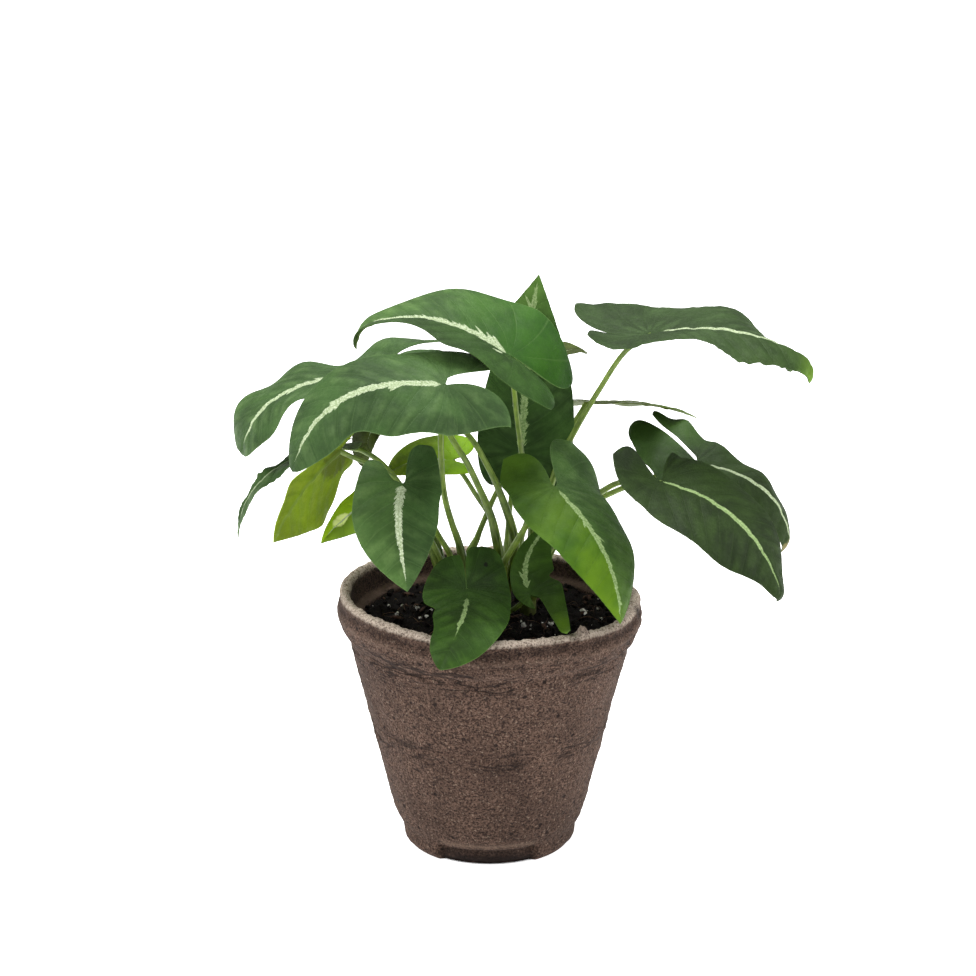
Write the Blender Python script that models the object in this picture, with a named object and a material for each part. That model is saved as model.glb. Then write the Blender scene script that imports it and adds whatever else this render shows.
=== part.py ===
"""Potted arrowhead vine (syngonium) in a moulded-fibre pot.

Lengths are in millimetres and angles in degrees, and MM turns them into metres.
The origin is the middle of the pot's flat bottom, +Z is up and -Y is the front.
"""
import math

import bpy
import numpy as np

MM = 0.001
UP = np.array((0.0, 0.0, 1.0))

# Driving sizes
RIM_RADIUS = 55.0
POT_HEIGHT = 94.0
POT_SEGMENTS = 48
RIM_SLANT = 2.0
SOIL_LEVEL = 83.8
SOIL_SEGMENTS = 48
FIT_GAP = 0.3
BLADE_HALF = 0.35
STEM_RADIUS = 3.0
STEM_BOTTOM = 60.0
STEM_TOP = 96.0
STEM_SIDES = 12
PETIOLE_SIDES = 6
PETIOLE_END = 0.85

# Rows along a blade's lobes, rows along its front part, and columns in each half
LOBE_ROWS = 4
FRONT_ROWS = 9
HALF_COLUMNS = 4

# Each leaf blade. Pairs are (left half, right half), looking from the base to the tip
# with the upper face up. base and tip end the midrib; rise lifts its first and second
# third and sway moves them sideways; roll and twist turn the blade about the midrib;
# hook bends the part past hook_from down. width, lobe and gap size each half, its back
# lobe and the slit between the lobes. fold lifts the halves at the base and at the tip,
# drop turns them down towards the tip, curl bends them across, droop bends the lobes
# down and splay turns them outward. dents are (half, place along the blade, depth,
# length) of dips in the outline; a negative depth is a swell.
LEAVES = {
    "left_front": dict(
        base=(-15, -31, 179), tip=(-67.2, -41, 151), rise=(15, 21), roll=28,
        width=(20.5, 22), lobe=(27, 21), lobe_out=(1.1, 0.75), gap=(0.4, 12), widest=(0.3, 0.0),
        splay=(-25, 0), taper=(1.6, 0.62), fold=(-8, -10), curl=(-12, -8), droop=(10, -2),
        dents=((0, 0.58, 8, 0.15), (1, 0.72, -10, 0.2), (1, -0.2, -2.5, 0.15)), wave=(0.8, 2, 0)),
    "top_left": dict(
        base=(7, -2, 182), tip=(-52, 6, 186.5), rise=(12, 15), roll=16, twist=-18, hook=65,
        width=(20, 28.5), lobe=(23, 25), lobe_out=(0.7, 0.66), square=(3, 2), widest=(0.02, 0.02),
        splay=(-14, 0), taper=(1.8, 0.85), fold=(12, 12),
        dents=((0, 0.36, -4.5, 0.09), (0, 0.58, 1.5, 0.1), (1, 0.75, 14, 0.2), (1, 0.05, -2, 0.15)),
        curl=(-10, -10), droop=(20, 38), wave=(0.8, 2, 0)),
    "left_back": dict(
        base=(-34, 25, 175), tip=(-89, 10, 142.5), rise=(0, 24), roll=-6, twist=12,
        width=(17, 25), lobe=(18, 20), gap=(1, 4), taper=(6, 0.4),
        fold=(6, 0), curl=(-10, -10), droop=(60, 45), wave=(2.2, 2.4, -0.16)),
    "left_narrow": dict(
        base=(-56, 19, 143.3), tip=(-90.8, 4, 112), rise=(10, 17), roll=-2,
        width=(14, 5), lobe=(8, 8), taper=(1.6, 1.0), fold=(8, 8), wave=(1.4, 3.5, 0)),
    "left_lime": dict(
        base=(-53, 0, 147), tip=(-76, -20, 119), rise=(4, 4), roll=-70,
        width=(6.5, 24), lobe=(8, 5), dents=((0, 0.62, -5, 0.2), (1, 0.05, 8.5, 0.2)),
        widest=(0.5, 0.5), taper=(2.0, 1.0), wave=(0.5, 2.5, 0)),
    "left_yellow": dict(
        base=(-41, -3, 131.5), tip=(-59.6, -14, 116.8), rise=(0, 2), roll=30,
        width=(12, 6.5), lobe=(5, 5), fold=(5, 5), wave=(0.6, 2, 0)),
    "left_small": dict(
        base=(-37.5, 23, 156.5), tip=(-46, 23, 134), rise=(2, 3), roll=50,
        width=(4, 8), lobe=(3, 3), widest=(0.4, 0.4), taper=(2.4, 0.7), wave=(0.3, 2, 0)),
    "front_left": dict(
        base=(-30, -25, 142), tip=(-28, -50, 111), rise=(4, 8), sway=(4, 2),
        width=(14, 16), lobe=(19.5, 11), lobe_out=(0.75, 0.85), square=(3, 2.5), gap=(2, 9),
        splay=(-16, 0), widest=(0.3, 0.3), taper=(2.0, 1.0), fold=(4, 4), curl=(-10, -10),
        droop=(0, 30), wave=(0.6, 2, 0)),
    "front_low": dict(
        base=(-8, -24, 103), tip=(-17, -63, 87.5), rise=(3, 10), sway=(-4, -6),
        width=(15.5, 16.5), lobe=(20, 17), gap=(0.05, 0.05), lobe_out=(0.25, 0.15), square=(4, 2.6),
        dents=((1, 0.3, 5.6, 0.15), (1, 0.68, 15, 0.28)), widest=(0.4, 0.3), taper=(2.4, 0.8),
        curl=(-15, -15), droop=(-45, -40), wave=(0.6, 2, 0)),
    "front_right": dict(
        base=(23, -22, 140), tip=(45, -49, 99), rise=(8, 14),
        width=(22, 18), lobe=(32, 26), lobe_out=(1.0, 1.0), square=(3, 2.5), widest=(0.15, 0.1),
        gap=(4, 3), splay=(22, -30), dents=((0, -0.22, -7.5, 0.28), (1, -0.28, -3, 0.16)),
        taper=(2.0, 0.95), fold=(-12, -12), curl=(-14, -10), droop=(8, -4), wave=(0.6, 2, 0)),
    "top_back": dict(
        base=(11.2, 26, 139.6), tip=(18, 38, 202.5), heading=90, sway=(0, -2),
        width=(16, 19), lobe=(14, 14), dents=((0, 0.8, -9, 0.15),), fold=(4, 4), curl=(-10, -10),
        droop=(10, 10), wave=(0.8, 2, 0)),
    "back_small": dict(
        base=(20, 42, 166), tip=(36, 46, 171), rise=(3, 6),
        width=(10, 10), lobe=(8, 8), taper=(2.2, 0.7), fold=(8, 8), wave=(0.6, 2, 0)),
    "right_high": dict(
        base=(57, 10, 187), tip=(120.2, -2, 175.3), rise=(9, 11.4), roll=-3, twist=-14, hook=85,
        width=(26, 21), lobe=(31, 21.5), lobe_out=(0.8, 0.62), gap=(0.2, 0.2), square=(2.6, 4),
        taper=(2.4, 0.75), dents=((0, 0.46, -6, 0.12), (1, 0.3, 11, 0.15)), fold=(12, -12),
        drop=(94, 0), curl=(-10, -10), droop=(-33, -30), wave=(1.6, 1.64, 0.56)),
    "right_back": dict(
        base=(36, 50, 151.7), tip=(77.2, 48, 145.9), rise=(2, 4.5), roll=17,
        width=(13, 13), lobe=(10, 10), dents=((0, 0.86, -3, 0.08),), fold=(-3, -3),
        wave=(0.8, 2, 0)),
    "right_front": dict(
        base=(59.5, -24, 142.5), tip=(101.1, -47.4, 104.9), rise=(13, 15), roll=-12, hook=95,
        hook_from=0.93,
        width=(18, 22.5), lobe=(6, 23), lobe_out=(0.7, 1.0), widest=(0.3, 0.3), square=(2, 2.5),
        gap=(4, 2), splay=(40, -37), taper=(2.2, 1.05), fold=(10, -14),
        dents=((0, 0.88, 12, 0.1), (1, 0, 3, 0.1), (1, 0.86, 14, 0.12)),
        curl=(-10, -10), droop=(-25, -60), wave=(0.8, 2, 0)),
    "right_middle": dict(
        base=(75.5, 20, 136.6), tip=(108.7, 6, 104.5), rise=(12, 18.5), hook=60, hook_from=0.84,
        roll=-22, twist=22,
        width=(12.5, 21.5), lobe=(30, 44.5), lobe_out=(0.6, 0.55), square=(2, 2.4), gap=(6, 0.2),
        splay=(30, -41.5), widest=(0, 0), taper=(1.6, 0.9),
        dents=((0, -0.28, -3.8, 0.26), (0, 0, -1.5, 0.1)), fold=(0, -22), curl=(-10, -10), droop=(1, 10),
        wave=(1.2, 3, 0)),
    "middle_low": dict(
        base=(14.5, -20, 99.5), tip=(23, -4, 123), rise=(-4, -3), heading=78, sway=(-9, -6),
        width=(5.5, 12), lobe=(7, 38), lobe_out=(0.15, 0.76), square=(1.3, 1.8), gap=(0.8, 7.6),
        dents=((1, 0.25, 4, 0.1),), splay=(0, -12), fold=(4, 4), curl=(-10, -10),
        droop=(-10, -50), wave=(0.6, 2, 0)),
    "middle_lime": dict(
        base=(-13, 17, 138.5), tip=(-37, 22, 132.5), rise=(2, 3), roll=25,
        width=(8, 14), lobe=(8, 6), taper=(3, 0.6), fold=(4, 4), curl=(-10, -10),
        droop=(10, 10)),
}

# Each shoot: where its short stem stands, and for each leaf that it carries the radius
# at the root and the points that the leaf stalk passes on its way up to the blade.
SHOOTS = {
    "left": dict(at=(-13, 9), stalks={
        "top_back": (1.2, (-10, 16, 97), (-5, 20, 107), (-1, 23, 116), (3, 27, 124), (8, 30, 132)),
        "front_left": (1.3, (-13.5, 3, 97), (-14, -2, 108), (-18, -6, 117), (-24, -14, 131)),
        "left_narrow": (1.2, (-17, 5, 97), (-21, 4, 109), (-30, 6, 129), (-38, 11, 138.2),
                        (-45, 14.5, 142.3), (-50, 17, 142.8)),
        "left_lime": (1.1, (-16, 7, 98), (-20, 8, 112), (-28, 5, 127), (-38, 3, 139),
                      (-46, 1, 143)),
        "left_yellow": (1.1, (-15, 5, 97), (-18, 1, 107), (-25, 1, 120), (-34, -1, 128.5)),
    }),
    "front": dict(at=(-3, -1), stalks={
        "left_front": (1.4, (-7, 1, 97), (-11, 3, 111), (-16, -2, 131), (-17, -13, 156),
                       (-15.5, -23, 170.5)),
        "front_right": (1.5, (1, -2, 96), (3, -3, 102), (8, -6, 112), (13, -10, 122),
                        (18, -16, 132)),
        "front_low": (1.2, (-4, -5, 91), (-5, -12, 95), (-7, -19, 99)),
        "middle_low": (1.1, (1, -6, 88.5), (5, -12, 90), (9, -17, 93.5)),
    }),
    "back": dict(at=(5, 14), stalks={
        "left_back": (1.4, (5, 9, 97), (3, 5, 110), (0, 6, 122), (-7, 8, 138), (-12, 10, 146),
                      (-17, 13, 154), (-22, 18, 161.5), (-27, 23.5, 168)),
        "left_small": (1.2, (8, 11, 98), (9, 9, 112), (3, 10, 130), (-4, 12, 144), (-9, 15, 150),
                       (-15, 21, 154.5), (-21, 26, 156.5), (-27, 26, 157)),
        "middle_lime": (1.0, (3, 12, 97), (3, 11, 108), (0, 11, 119), (-5, 12, 127),
                        (-9, 14, 133)),
        "back_small": (1.1, (6, 18, 97), (7, 26, 112), (10, 36, 132), (15, 41, 152)),
        "right_back": (1.2, (9, 17, 97), (13, 26, 110), (22, 40, 128), (31, 48, 143)),
    }),
    "right": dict(at=(14, 6), stalks={
        "top_left": (1.3, (14, 9, 97), (15.5, 13.5, 112), (14, 15, 127), (11.5, 13.5, 143),
                     (9.5, 8, 160), (8.5, 2, 170)),
        "right_high": (1.5, (14, 9, 97), (15, 13, 108), (20, 19, 120.5), (25, 23, 135),
                       (31, 23, 147.7), (39, 17, 164), (48, 11, 180)),
        "right_front": (1.4, (17, 5, 96), (23, 8, 109), (33, 11, 122), (43, 11, 130),
                        (49, 3, 134.5), (54, -8, 137)),
        "right_middle": (1.4, (18, 9, 96), (24, 15, 108), (34, 20, 119), (45, 21, 125),
                         (58, 22, 130), (68, 21, 132.5)),
    }),
}

COLOURS = {
    "fibre": (0.17, 0.12, 0.10),
    "soil": (0.020, 0.014, 0.010),
    "stalk": (0.15, 0.19, 0.045),
    "leaf": (0.040, 0.100, 0.030),
    "lime": (0.28, 0.38, 0.045),
}
LIME_LEAVES = ("left_lime", "left_yellow", "middle_lime")


def unit(v):
    return v / np.linalg.norm(v)


class Midrib:
    """The midrib's curve, with a side direction and an upper normal carried along it."""

    STEPS = 48

    def __init__(self, leaf):
        base = np.array(leaf["base"], float)
        tip = np.array(leaf["tip"], float)
        chord = tip - base
        flat = unit(np.array((chord[0], chord[1], 0.0)))
        if "heading" in leaf:
            a = math.radians(leaf["heading"])
            flat = np.array((math.cos(a), math.sin(a), 0.0))
        normal = unit(np.cross(np.cross(flat, UP), unit(chord)))
        side = unit(np.cross(unit(chord), normal))
        rise = leaf.get("rise", (0, 0))
        sway = leaf.get("sway", (0, 0))
        inner_1 = base + chord / 3 + normal * rise[0] + side * sway[0]
        inner_2 = base + chord * 2 / 3 + normal * rise[1] + side * sway[1]
        u = np.linspace(0, 1, self.STEPS + 1)[:, None]
        self.points = ((1 - u) ** 3 * base + 3 * (1 - u) ** 2 * u * inner_1
                       + 3 * (1 - u) * u * u * inner_2 + u ** 3 * tip)
        runs = np.linalg.norm(np.diff(self.points, axis=0), axis=1)
        self.dist = np.concatenate(([0], np.cumsum(runs)))
        self.length = self.dist[-1]
        tangents = np.gradient(self.points, self.dist, axis=0)
        tangents = tangents / np.linalg.norm(tangents, axis=1)[:, None]
        if "hook" in leaf:
            start = leaf.get("hook_from", 0.82)
            tangents = self.bend_tip(tangents, side, runs, math.radians(leaf["hook"]), start)
        self.tangents = tangents
        self.carry_frame(side, math.radians(leaf.get("roll", 0)), math.radians(leaf.get("twist", 0)))

    def bend_tip(self, tangents, side, runs, hook, start):
        """Bend the part past start down by the hook angle and lay its points out again."""
        bent = []
        s = side
        for t, d in zip(tangents, self.dist):
            s = unit(s - t * np.dot(s, t))
            n = np.cross(s, t)
            b = hook * max(0.0, d / self.length - start) / (1 - start)
            bent.append(t * math.cos(b) - n * math.sin(b))
        bent = np.array(bent)
        steps = (bent[1:] + bent[:-1]) / 2 * runs[:, None]
        self.points = np.vstack((self.points[:1], self.points[0] + np.cumsum(steps, axis=0)))
        return bent / np.linalg.norm(bent, axis=1)[:, None]

    def carry_frame(self, side, roll, twist):
        sides = []
        normals = []
        s = side
        for t, d in zip(self.tangents, self.dist):
            s = unit(s - t * np.dot(s, t))
            n = np.cross(s, t)
            a = roll + twist * d / self.length
            sides.append(s * math.cos(a) + n * math.sin(a))
            normals.append(n * math.cos(a) - s * math.sin(a))
        self.sides = np.array(sides)
        self.normals = np.array(normals)

    def at(self, y):
        """Point, tangent, side and normal y mm along the midrib."""
        return [np.array([np.interp(y, self.dist, rows[:, i]) for i in range(3)])
                for rows in (self.points, self.tangents, self.sides, self.normals)]


def outer_edge(y, length, leaf, half):
    """Distance of the blade's outline from the midrib's line, y mm from the base."""
    wide = leaf["width"][half]
    lobe = leaf["lobe"][half]
    lobe_tip = leaf.get("lobe_out", (0.55, 0.55))[half]
    widest = leaf.get("widest", (0.08, 0.08))[half] * length
    if y <= widest:
        e = leaf.get("square", (2, 2))[half]
        v = min(1.0, (widest - y) / (widest + lobe))
        out = wide * (lobe_tip + (1 - lobe_tip) * max(0.0, 1 - v ** e) ** (1 / e))
    else:
        p, q = leaf.get("taper", (1.9, 1.0))
        u = min(1.0, (y - widest) / (length - widest))
        out = wide * max(0.0, 1 - u ** p) ** q
    for side, place, depth, long in leaf.get("dents", ()):
        if side == half:
            off = (y / length - place) / long
            out -= depth * math.exp(-off * off) * min(1.0, 1 - y / length)
    return out


def inner_edge(y, leaf, half):
    """Distance of a lobe's inner outline from the midrib's line; 0 in front of the base."""
    if y >= 0:
        return 0.0
    lobe_tip = leaf.get("lobe_out", (0.55, 0.55))[half] * leaf["width"][half]
    gap = leaf.get("gap", (1.5, 1.5))[half]
    e = leaf.get("square", (2, 2))[half]
    v = min(1.0, -y / leaf["lobe"][half])
    return gap * v ** 0.35 + (lobe_tip - gap) * (1 - max(0.0, 1 - v ** e) ** (1 / e))


def blade_point(midrib, leaf, across, y, half):
    """Point of the blade's middle surface, across mm from the midrib on one half."""
    sign = 1.0 if half else -1.0
    wide = leaf["width"][half]
    fold_base, fold_tip = (math.radians(f) for f in leaf.get("fold", (0, 0)))
    forward = max(0.0, y) / midrib.length
    fold = fold_base + (fold_tip - fold_base) * forward
    fold -= math.radians(leaf.get("drop", (0, 0))[half]) * forward ** 3
    curl = math.radians(leaf.get("curl", (0, 0))[half])
    if curl:
        turned = fold + curl * across / wide
        out = (math.sin(turned) - math.sin(fold)) * wide / curl
        height = (math.cos(fold) - math.cos(turned)) * wide / curl
    else:
        out = across * math.cos(fold)
        height = across * math.sin(fold)
    swell, cycles, phase = leaf.get("wave", (0, 2, 0))
    turns = cycles * y / midrib.length + phase + 0.4 * half
    height += swell * (across / wide) ** 1.5 * math.sin(2 * math.pi * turns)
    centre, tangent, side, normal = midrib.at(max(0.0, y))
    if y < 0:
        lobe = leaf["lobe"][half]
        splay = math.radians(leaf.get("splay", (0, 0))[half])
        droop = math.radians(leaf.get("droop", (0, 0))[half])
        centre = centre - side * sign * y * math.sin(splay)
        tangent = tangent * math.cos(splay)
        if droop:
            bend = droop * -y / lobe
            centre = centre - (tangent * math.sin(bend) + normal * (1 - math.cos(bend))) * lobe / droop
            normal = normal * math.cos(bend) - tangent * math.sin(bend)
        else:
            centre = centre + tangent * y
    return centre + side * sign * out + normal * height


def blade_sheet(leaf, lobe_rows, front_rows, columns):
    """Points and triangles of the blade's middle surface, upper face out."""
    midrib = Midrib(leaf)
    length = midrib.length
    points = [blade_point(midrib, leaf, 0.0, length * k / front_rows, 0) for k in range(front_rows + 1)]
    triangles = []
    for half in (0, 1):
        lobe = leaf["lobe"][half]
        rows = []
        for j in range(lobe_rows + front_rows + 1):
            k = j - lobe_rows
            y = length * k / front_rows if k >= 0 else -lobe * math.cos(math.pi / 2 * j / lobe_rows)
            low = inner_edge(y, leaf, half)
            high = outer_edge(y, length, leaf, half)
            if k == front_rows:
                rows.append([front_rows])
                continue
            if j == 0:
                rows.append([len(points)])
                points.append(blade_point(midrib, leaf, high, y, half))
                continue
            row = [k] if k >= 0 else []
            for c in range(len(row), columns + 1):
                row.append(len(points))
                points.append(blade_point(midrib, leaf, low + (high - low) * c / columns, y, half))
            rows.append(row)
        for near, far in zip(rows[:-1], rows[1:]):
            for c in range(columns):
                corners = [near[min(c, len(near) - 1)], near[min(c + 1, len(near) - 1)],
                           far[min(c + 1, len(far) - 1)], far[min(c, len(far) - 1)]]
                if half == 0:
                    corners.reverse()
                a, b, d, e = corners
                triangles += [t for t in ((a, b, d), (a, d, e)) if len(set(t)) == 3]
    return np.array(points), triangles


def thicken(points, triangles, half_thickness):
    """A closed solid round a sheet, with the same triangles on both faces."""
    normals = np.zeros_like(points)
    for a, b, c in triangles:
        n = np.cross(points[b] - points[a], points[c] - points[a])
        for i in (a, b, c):
            normals[i] += n
    normals /= np.linalg.norm(normals, axis=1)[:, None]
    count = len(points)
    solid = np.vstack((points + normals * half_thickness, points - normals * half_thickness))
    faces = list(triangles) + [(c + count, b + count, a + count) for a, b, c in triangles]
    edges = {(t[i], t[(i + 1) % 3]) for t in triangles for i in range(3)}
    for a, b in sorted(edges):
        if (b, a) not in edges:
            faces += [(b, a, a + count), (b, a + count, b + count)]
    return solid, faces


def smooth_path(route, per_span):
    """Points on a smooth curve through the route's points."""
    knots = [np.array(p, float) for p in route]
    knots = [2 * knots[0] - knots[1]] + knots + [2 * knots[-1] - knots[-2]]
    path = []
    for p0, p1, p2, p3 in zip(knots[:-3], knots[1:-2], knots[2:-1], knots[3:]):
        for j in range(per_span):
            u = j / per_span
            path.append(0.5 * (2 * p1 + (p2 - p0) * u + (2 * p0 - 5 * p1 + 4 * p2 - p3) * u * u
                               + (3 * p1 - p0 - 3 * p2 + p3) * u ** 3))
    path.append(knots[-2])
    return np.array(path)


def stalk_path(stem_at, leaf, route):
    """The stalk's points, from inside its stem to just under the blade's base."""
    midrib = Midrib(leaf)
    base, _, _, normal = midrib.at(0.0)
    arrival = unit(base - np.array(route[-1], float))
    tilt = math.sqrt(max(0.0, 1 - np.dot(arrival, normal) ** 2))
    end = base - normal * (BLADE_HALF + FIT_GAP + 0.15 + PETIOLE_END * tilt)
    root = (stem_at[0], stem_at[1], SOIL_LEVEL + 2)
    return smooth_path([root] + list(route) + [end], 2)


def tube(path, radii, sides):
    """A closed tube with flat ends, its rings square to the path."""
    tangents = np.gradient(path, axis=0)
    across = unit(np.cross(tangents[0], (0.3, 1.0, 0.1)))
    points = []
    for centre, t, radius in zip(path, tangents, radii):
        t = unit(t)
        across = unit(across - t * np.dot(across, t))
        up = np.cross(t, across)
        for k in range(sides):
            a = 2 * math.pi * k / sides
            points.append(centre + (across * math.cos(a) + up * math.sin(a)) * radius)
    faces = [tuple(reversed(range(sides)))]
    for ring in range(len(path) - 1):
        for k in range(sides):
            a = ring * sides + k
            b = ring * sides + (k + 1) % sides
            faces.append((a, b, b + sides, a + sides))
    last = (len(path) - 1) * sides
    faces.append(tuple(range(last, last + sides)))
    return points, faces


def turned(profile, segments, shape=None):
    """A solid turned about the z axis from (radius, height) pairs, bottom to bottom.

    Every ring has one point for each segment, and shape moves a point (x, y, z, ring).
    """
    points = []
    for ring, (radius, height) in enumerate(profile):
        for k in range(segments):
            a = 2 * math.pi * k / segments
            point = (radius * math.cos(a), radius * math.sin(a), height)
            points.append(shape(*point, ring) if shape else point)
    faces = [tuple(reversed(range(segments)))]
    for ring in range(len(profile) - 1):
        for k in range(segments):
            a = ring * segments + k
            b = ring * segments + (k + 1) % segments
            faces.append((a, b, b + segments, a + segments))
    last = (len(profile) - 1) * segments
    faces.append(tuple(range(last, last + segments)))
    return points, faces


def material(name, colour, roughness):
    found = bpy.data.materials.get(name)
    if found:
        return found
    made = bpy.data.materials.new(name)
    made.use_nodes = True
    shader = made.node_tree.nodes["Principled BSDF"]
    shader.inputs["Base Color"].default_value = (*colour, 1.0)
    shader.inputs["Roughness"].default_value = roughness
    shader.inputs["Metallic"].default_value = 0.0
    return made


def add_object(name, points, faces, finish, collection=None):
    mesh = bpy.data.meshes.new(name)
    mesh.from_pydata([tuple(float(v) * MM for v in p) for p in points], [], faces)
    mesh.materials.append(finish)
    obj = bpy.data.objects.new(name, mesh)
    (collection or bpy.context.scene.collection).objects.link(obj)
    return obj


def combine(obj, operation, parts):
    """Join or cut obj with all the objects in a collection, and remove that collection."""
    modifier = obj.modifiers.new("combine", "BOOLEAN")
    modifier.operation = operation
    modifier.operand_type = "COLLECTION"
    modifier.collection = parts
    modifier.solver = "EXACT"
    bpy.context.view_layer.update()
    depsgraph = bpy.context.evaluated_depsgraph_get()
    result = bpy.data.meshes.new_from_object(obj.evaluated_get(depsgraph))
    obj.modifiers.clear()
    obj.data = result
    for part in list(parts.objects):
        bpy.data.objects.remove(part)
    bpy.data.collections.remove(parts)


def new_collection(name):
    made = bpy.data.collections.new(name)
    bpy.context.scene.collection.children.link(made)
    return made


# The pot's outside from the bottom's edge to the lip, then its inside down to the floor
FOOT_RECESS_TOP = 6.2
POT_OUTSIDE = (
    (28.6, 0.0), (30.6, 0.8), (31.4, 2.4), (31.7, FOOT_RECESS_TOP), (32.3, 7.6), (33.9, 10.4),
    (35.0, 13.6), (38.9, 29.0), (42.7, 44.8), (46.4, 60.3), (50.3, 75.4), (50.9, 78.6),
    (53.2, 81.0), (54.5, 84.5), (RIM_RADIUS, 88.5), (54.4, 92.4), (53.2, POT_HEIGHT))
POT_INSIDE = (
    (51.2, POT_HEIGHT), (50.3, 92.6), (49.8, 87.4), (49.2, 85.4), (46.9, 84.4), (46.5, 80.0),
    (45.9, 75.0), (28.2, 4.0))
RIM_FROM = 60.0
RECESS_DEPTH = 2.0
RECESS_ANGLES = (-126.0, -57.0)


def shape_pot(x, y, z, ring):
    """Slant and wave the rim, and press the shallow recess into the foot's front."""
    angle = math.atan2(y, x)
    outside = ring < len(POT_OUTSIDE)
    low = RIM_FROM if outside else SOIL_LEVEL + 1.0
    weight = min(1.0, max(0.0, (z - low) / (POT_HEIGHT - low)))
    scale = 1.0 + 0.006 * weight * (math.sin(3 * angle + 0.7) + 0.6 * math.sin(7 * angle))
    lift = -RIM_SLANT * x / RIM_RADIUS + 0.45 * math.sin(5 * angle + 1.1)
    if outside and 0 < ring and z <= FOOT_RECESS_TOP:
        if RECESS_ANGLES[0] < math.degrees(angle) < RECESS_ANGLES[1]:
            scale = 1.0 - RECESS_DEPTH / math.hypot(x, y)
    return x * scale, y * scale, z + lift * weight


def build_pot():
    points, faces = turned(POT_OUTSIDE + POT_INSIDE, POT_SEGMENTS, shape_pot)
    pot = add_object("pot", points, faces, material("fibre", COLOURS["fibre"], 0.9))
    pot.data.shade_smooth()
    pot.data.set_sharp_from_angle(angle=math.radians(35))


SOIL_SIDE = ((27.4, 4.0 + FIT_GAP), (45.5, 75.0), (46.1, 80.0), (46.4, SOIL_LEVEL - 0.8))
SOIL_RINGS = (43.0, 38.0, 32.0, 26.0, 20.0, 14.0, 8.0, 3.0)


def shape_soil(x, y, z, ring):
    """Heap the top of the soil unevenly."""
    if ring < len(SOIL_SIDE):
        return x, y, z
    uneven = 0.7 * math.sin(0.21 * x + 0.6) * math.cos(0.17 * y) + 0.4 * math.sin(0.45 * y + 0.3 * x)
    return x, y, z + uneven + 0.9 * (1 - math.hypot(x, y) / 46.4)


def build_soil():
    profile = SOIL_SIDE + tuple((r, SOIL_LEVEL) for r in SOIL_RINGS)
    points, faces = turned(profile, SOIL_SEGMENTS, shape_soil)
    soil = add_object("soil", points, faces, material("soil", COLOURS["soil"], 1.0))
    drills = new_collection("drills")
    for name, shoot in SHOOTS.items():
        x, y = shoot["at"]
        path = np.array([(x, y, STEM_BOTTOM - FIT_GAP), (x, y, STEM_TOP)])
        radius = STEM_RADIUS + FIT_GAP
        hole = tube(path, (radius, radius), STEM_SIDES)
        add_object("drill_" + name, *hole, soil.data.materials[0], drills)
    combine(soil, "DIFFERENCE", drills)


def build_shoot(name, shoot):
    """A short stem and its leaf stalks, joined in one solid."""
    x, y = shoot["at"]
    finish = material("stalk", COLOURS["stalk"], 0.55)
    heights = (STEM_BOTTOM, SOIL_LEVEL, SOIL_LEVEL + 5, SOIL_LEVEL + 9, STEM_TOP)
    radii = (STEM_RADIUS, STEM_RADIUS, 0.95 * STEM_RADIUS, 0.8 * STEM_RADIUS, 0.35 * STEM_RADIUS)
    path = np.array([(x, y, z) for z in heights])
    stem = add_object("shoot_" + name, *tube(path, radii, STEM_SIDES), finish)
    stalks = new_collection("stalks")
    for leaf_name, (root_radius, *route) in shoot["stalks"].items():
        path = stalk_path((x, y), LEAVES[leaf_name], route)
        radii = np.linspace(root_radius, PETIOLE_END, len(path))
        add_object("stalk_" + leaf_name, *tube(path, radii, PETIOLE_SIDES), finish, stalks)
    combine(stem, "UNION", stalks)
    stem.data.shade_smooth()
    stem.data.set_sharp_from_angle(angle=math.radians(50))


def build_blade(name, leaf):
    colour = "lime" if name in LIME_LEAVES else "leaf"
    points, triangles = blade_sheet(leaf, LOBE_ROWS, FRONT_ROWS, HALF_COLUMNS)
    solid, faces = thicken(points, triangles, BLADE_HALF)
    blade = add_object("leaf_" + name, solid, faces, material(colour, COLOURS[colour], 0.5))
    blade.data.shade_smooth()
    blade.data.set_sharp_from_angle(angle=math.radians(60))


def main():
    for obj in list(bpy.data.objects):
        bpy.data.objects.remove(obj, do_unlink=True)
    build_pot()
    build_soil()
    for name, shoot in SHOOTS.items():
        build_shoot(name, shoot)
    for name, leaf in LEAVES.items():
        build_blade(name, leaf)


main()
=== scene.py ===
"""Looks of the potted arrowhead vine (syngonium) in its moulded-fibre pot.

Finer pieces of the same form stand for the leaves, the shoots, the pot and the soil.
Lengths are in millimetres and angles in degrees, and MM turns them into metres. The
origin is the middle of the pot's flat bottom, +Z is up and -Y is the front.
"""
import math
import random

import bmesh
import bpy
import numpy as np
from mathutils import Euler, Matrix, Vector, noise


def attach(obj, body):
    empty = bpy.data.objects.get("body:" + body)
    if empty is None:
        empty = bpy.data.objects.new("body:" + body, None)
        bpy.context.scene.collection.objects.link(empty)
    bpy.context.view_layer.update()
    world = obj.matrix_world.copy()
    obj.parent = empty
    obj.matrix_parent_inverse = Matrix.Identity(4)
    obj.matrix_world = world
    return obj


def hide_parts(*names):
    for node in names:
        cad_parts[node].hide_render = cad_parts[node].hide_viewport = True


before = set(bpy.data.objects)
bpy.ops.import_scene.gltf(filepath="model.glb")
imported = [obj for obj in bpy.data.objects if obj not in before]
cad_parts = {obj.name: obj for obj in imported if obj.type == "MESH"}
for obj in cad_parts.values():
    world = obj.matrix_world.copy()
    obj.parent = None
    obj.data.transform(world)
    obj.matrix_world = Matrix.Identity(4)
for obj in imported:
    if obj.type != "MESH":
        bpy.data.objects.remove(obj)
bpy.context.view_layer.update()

MM = 0.001
UP = np.array((0.0, 0.0, 1.0))

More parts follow.
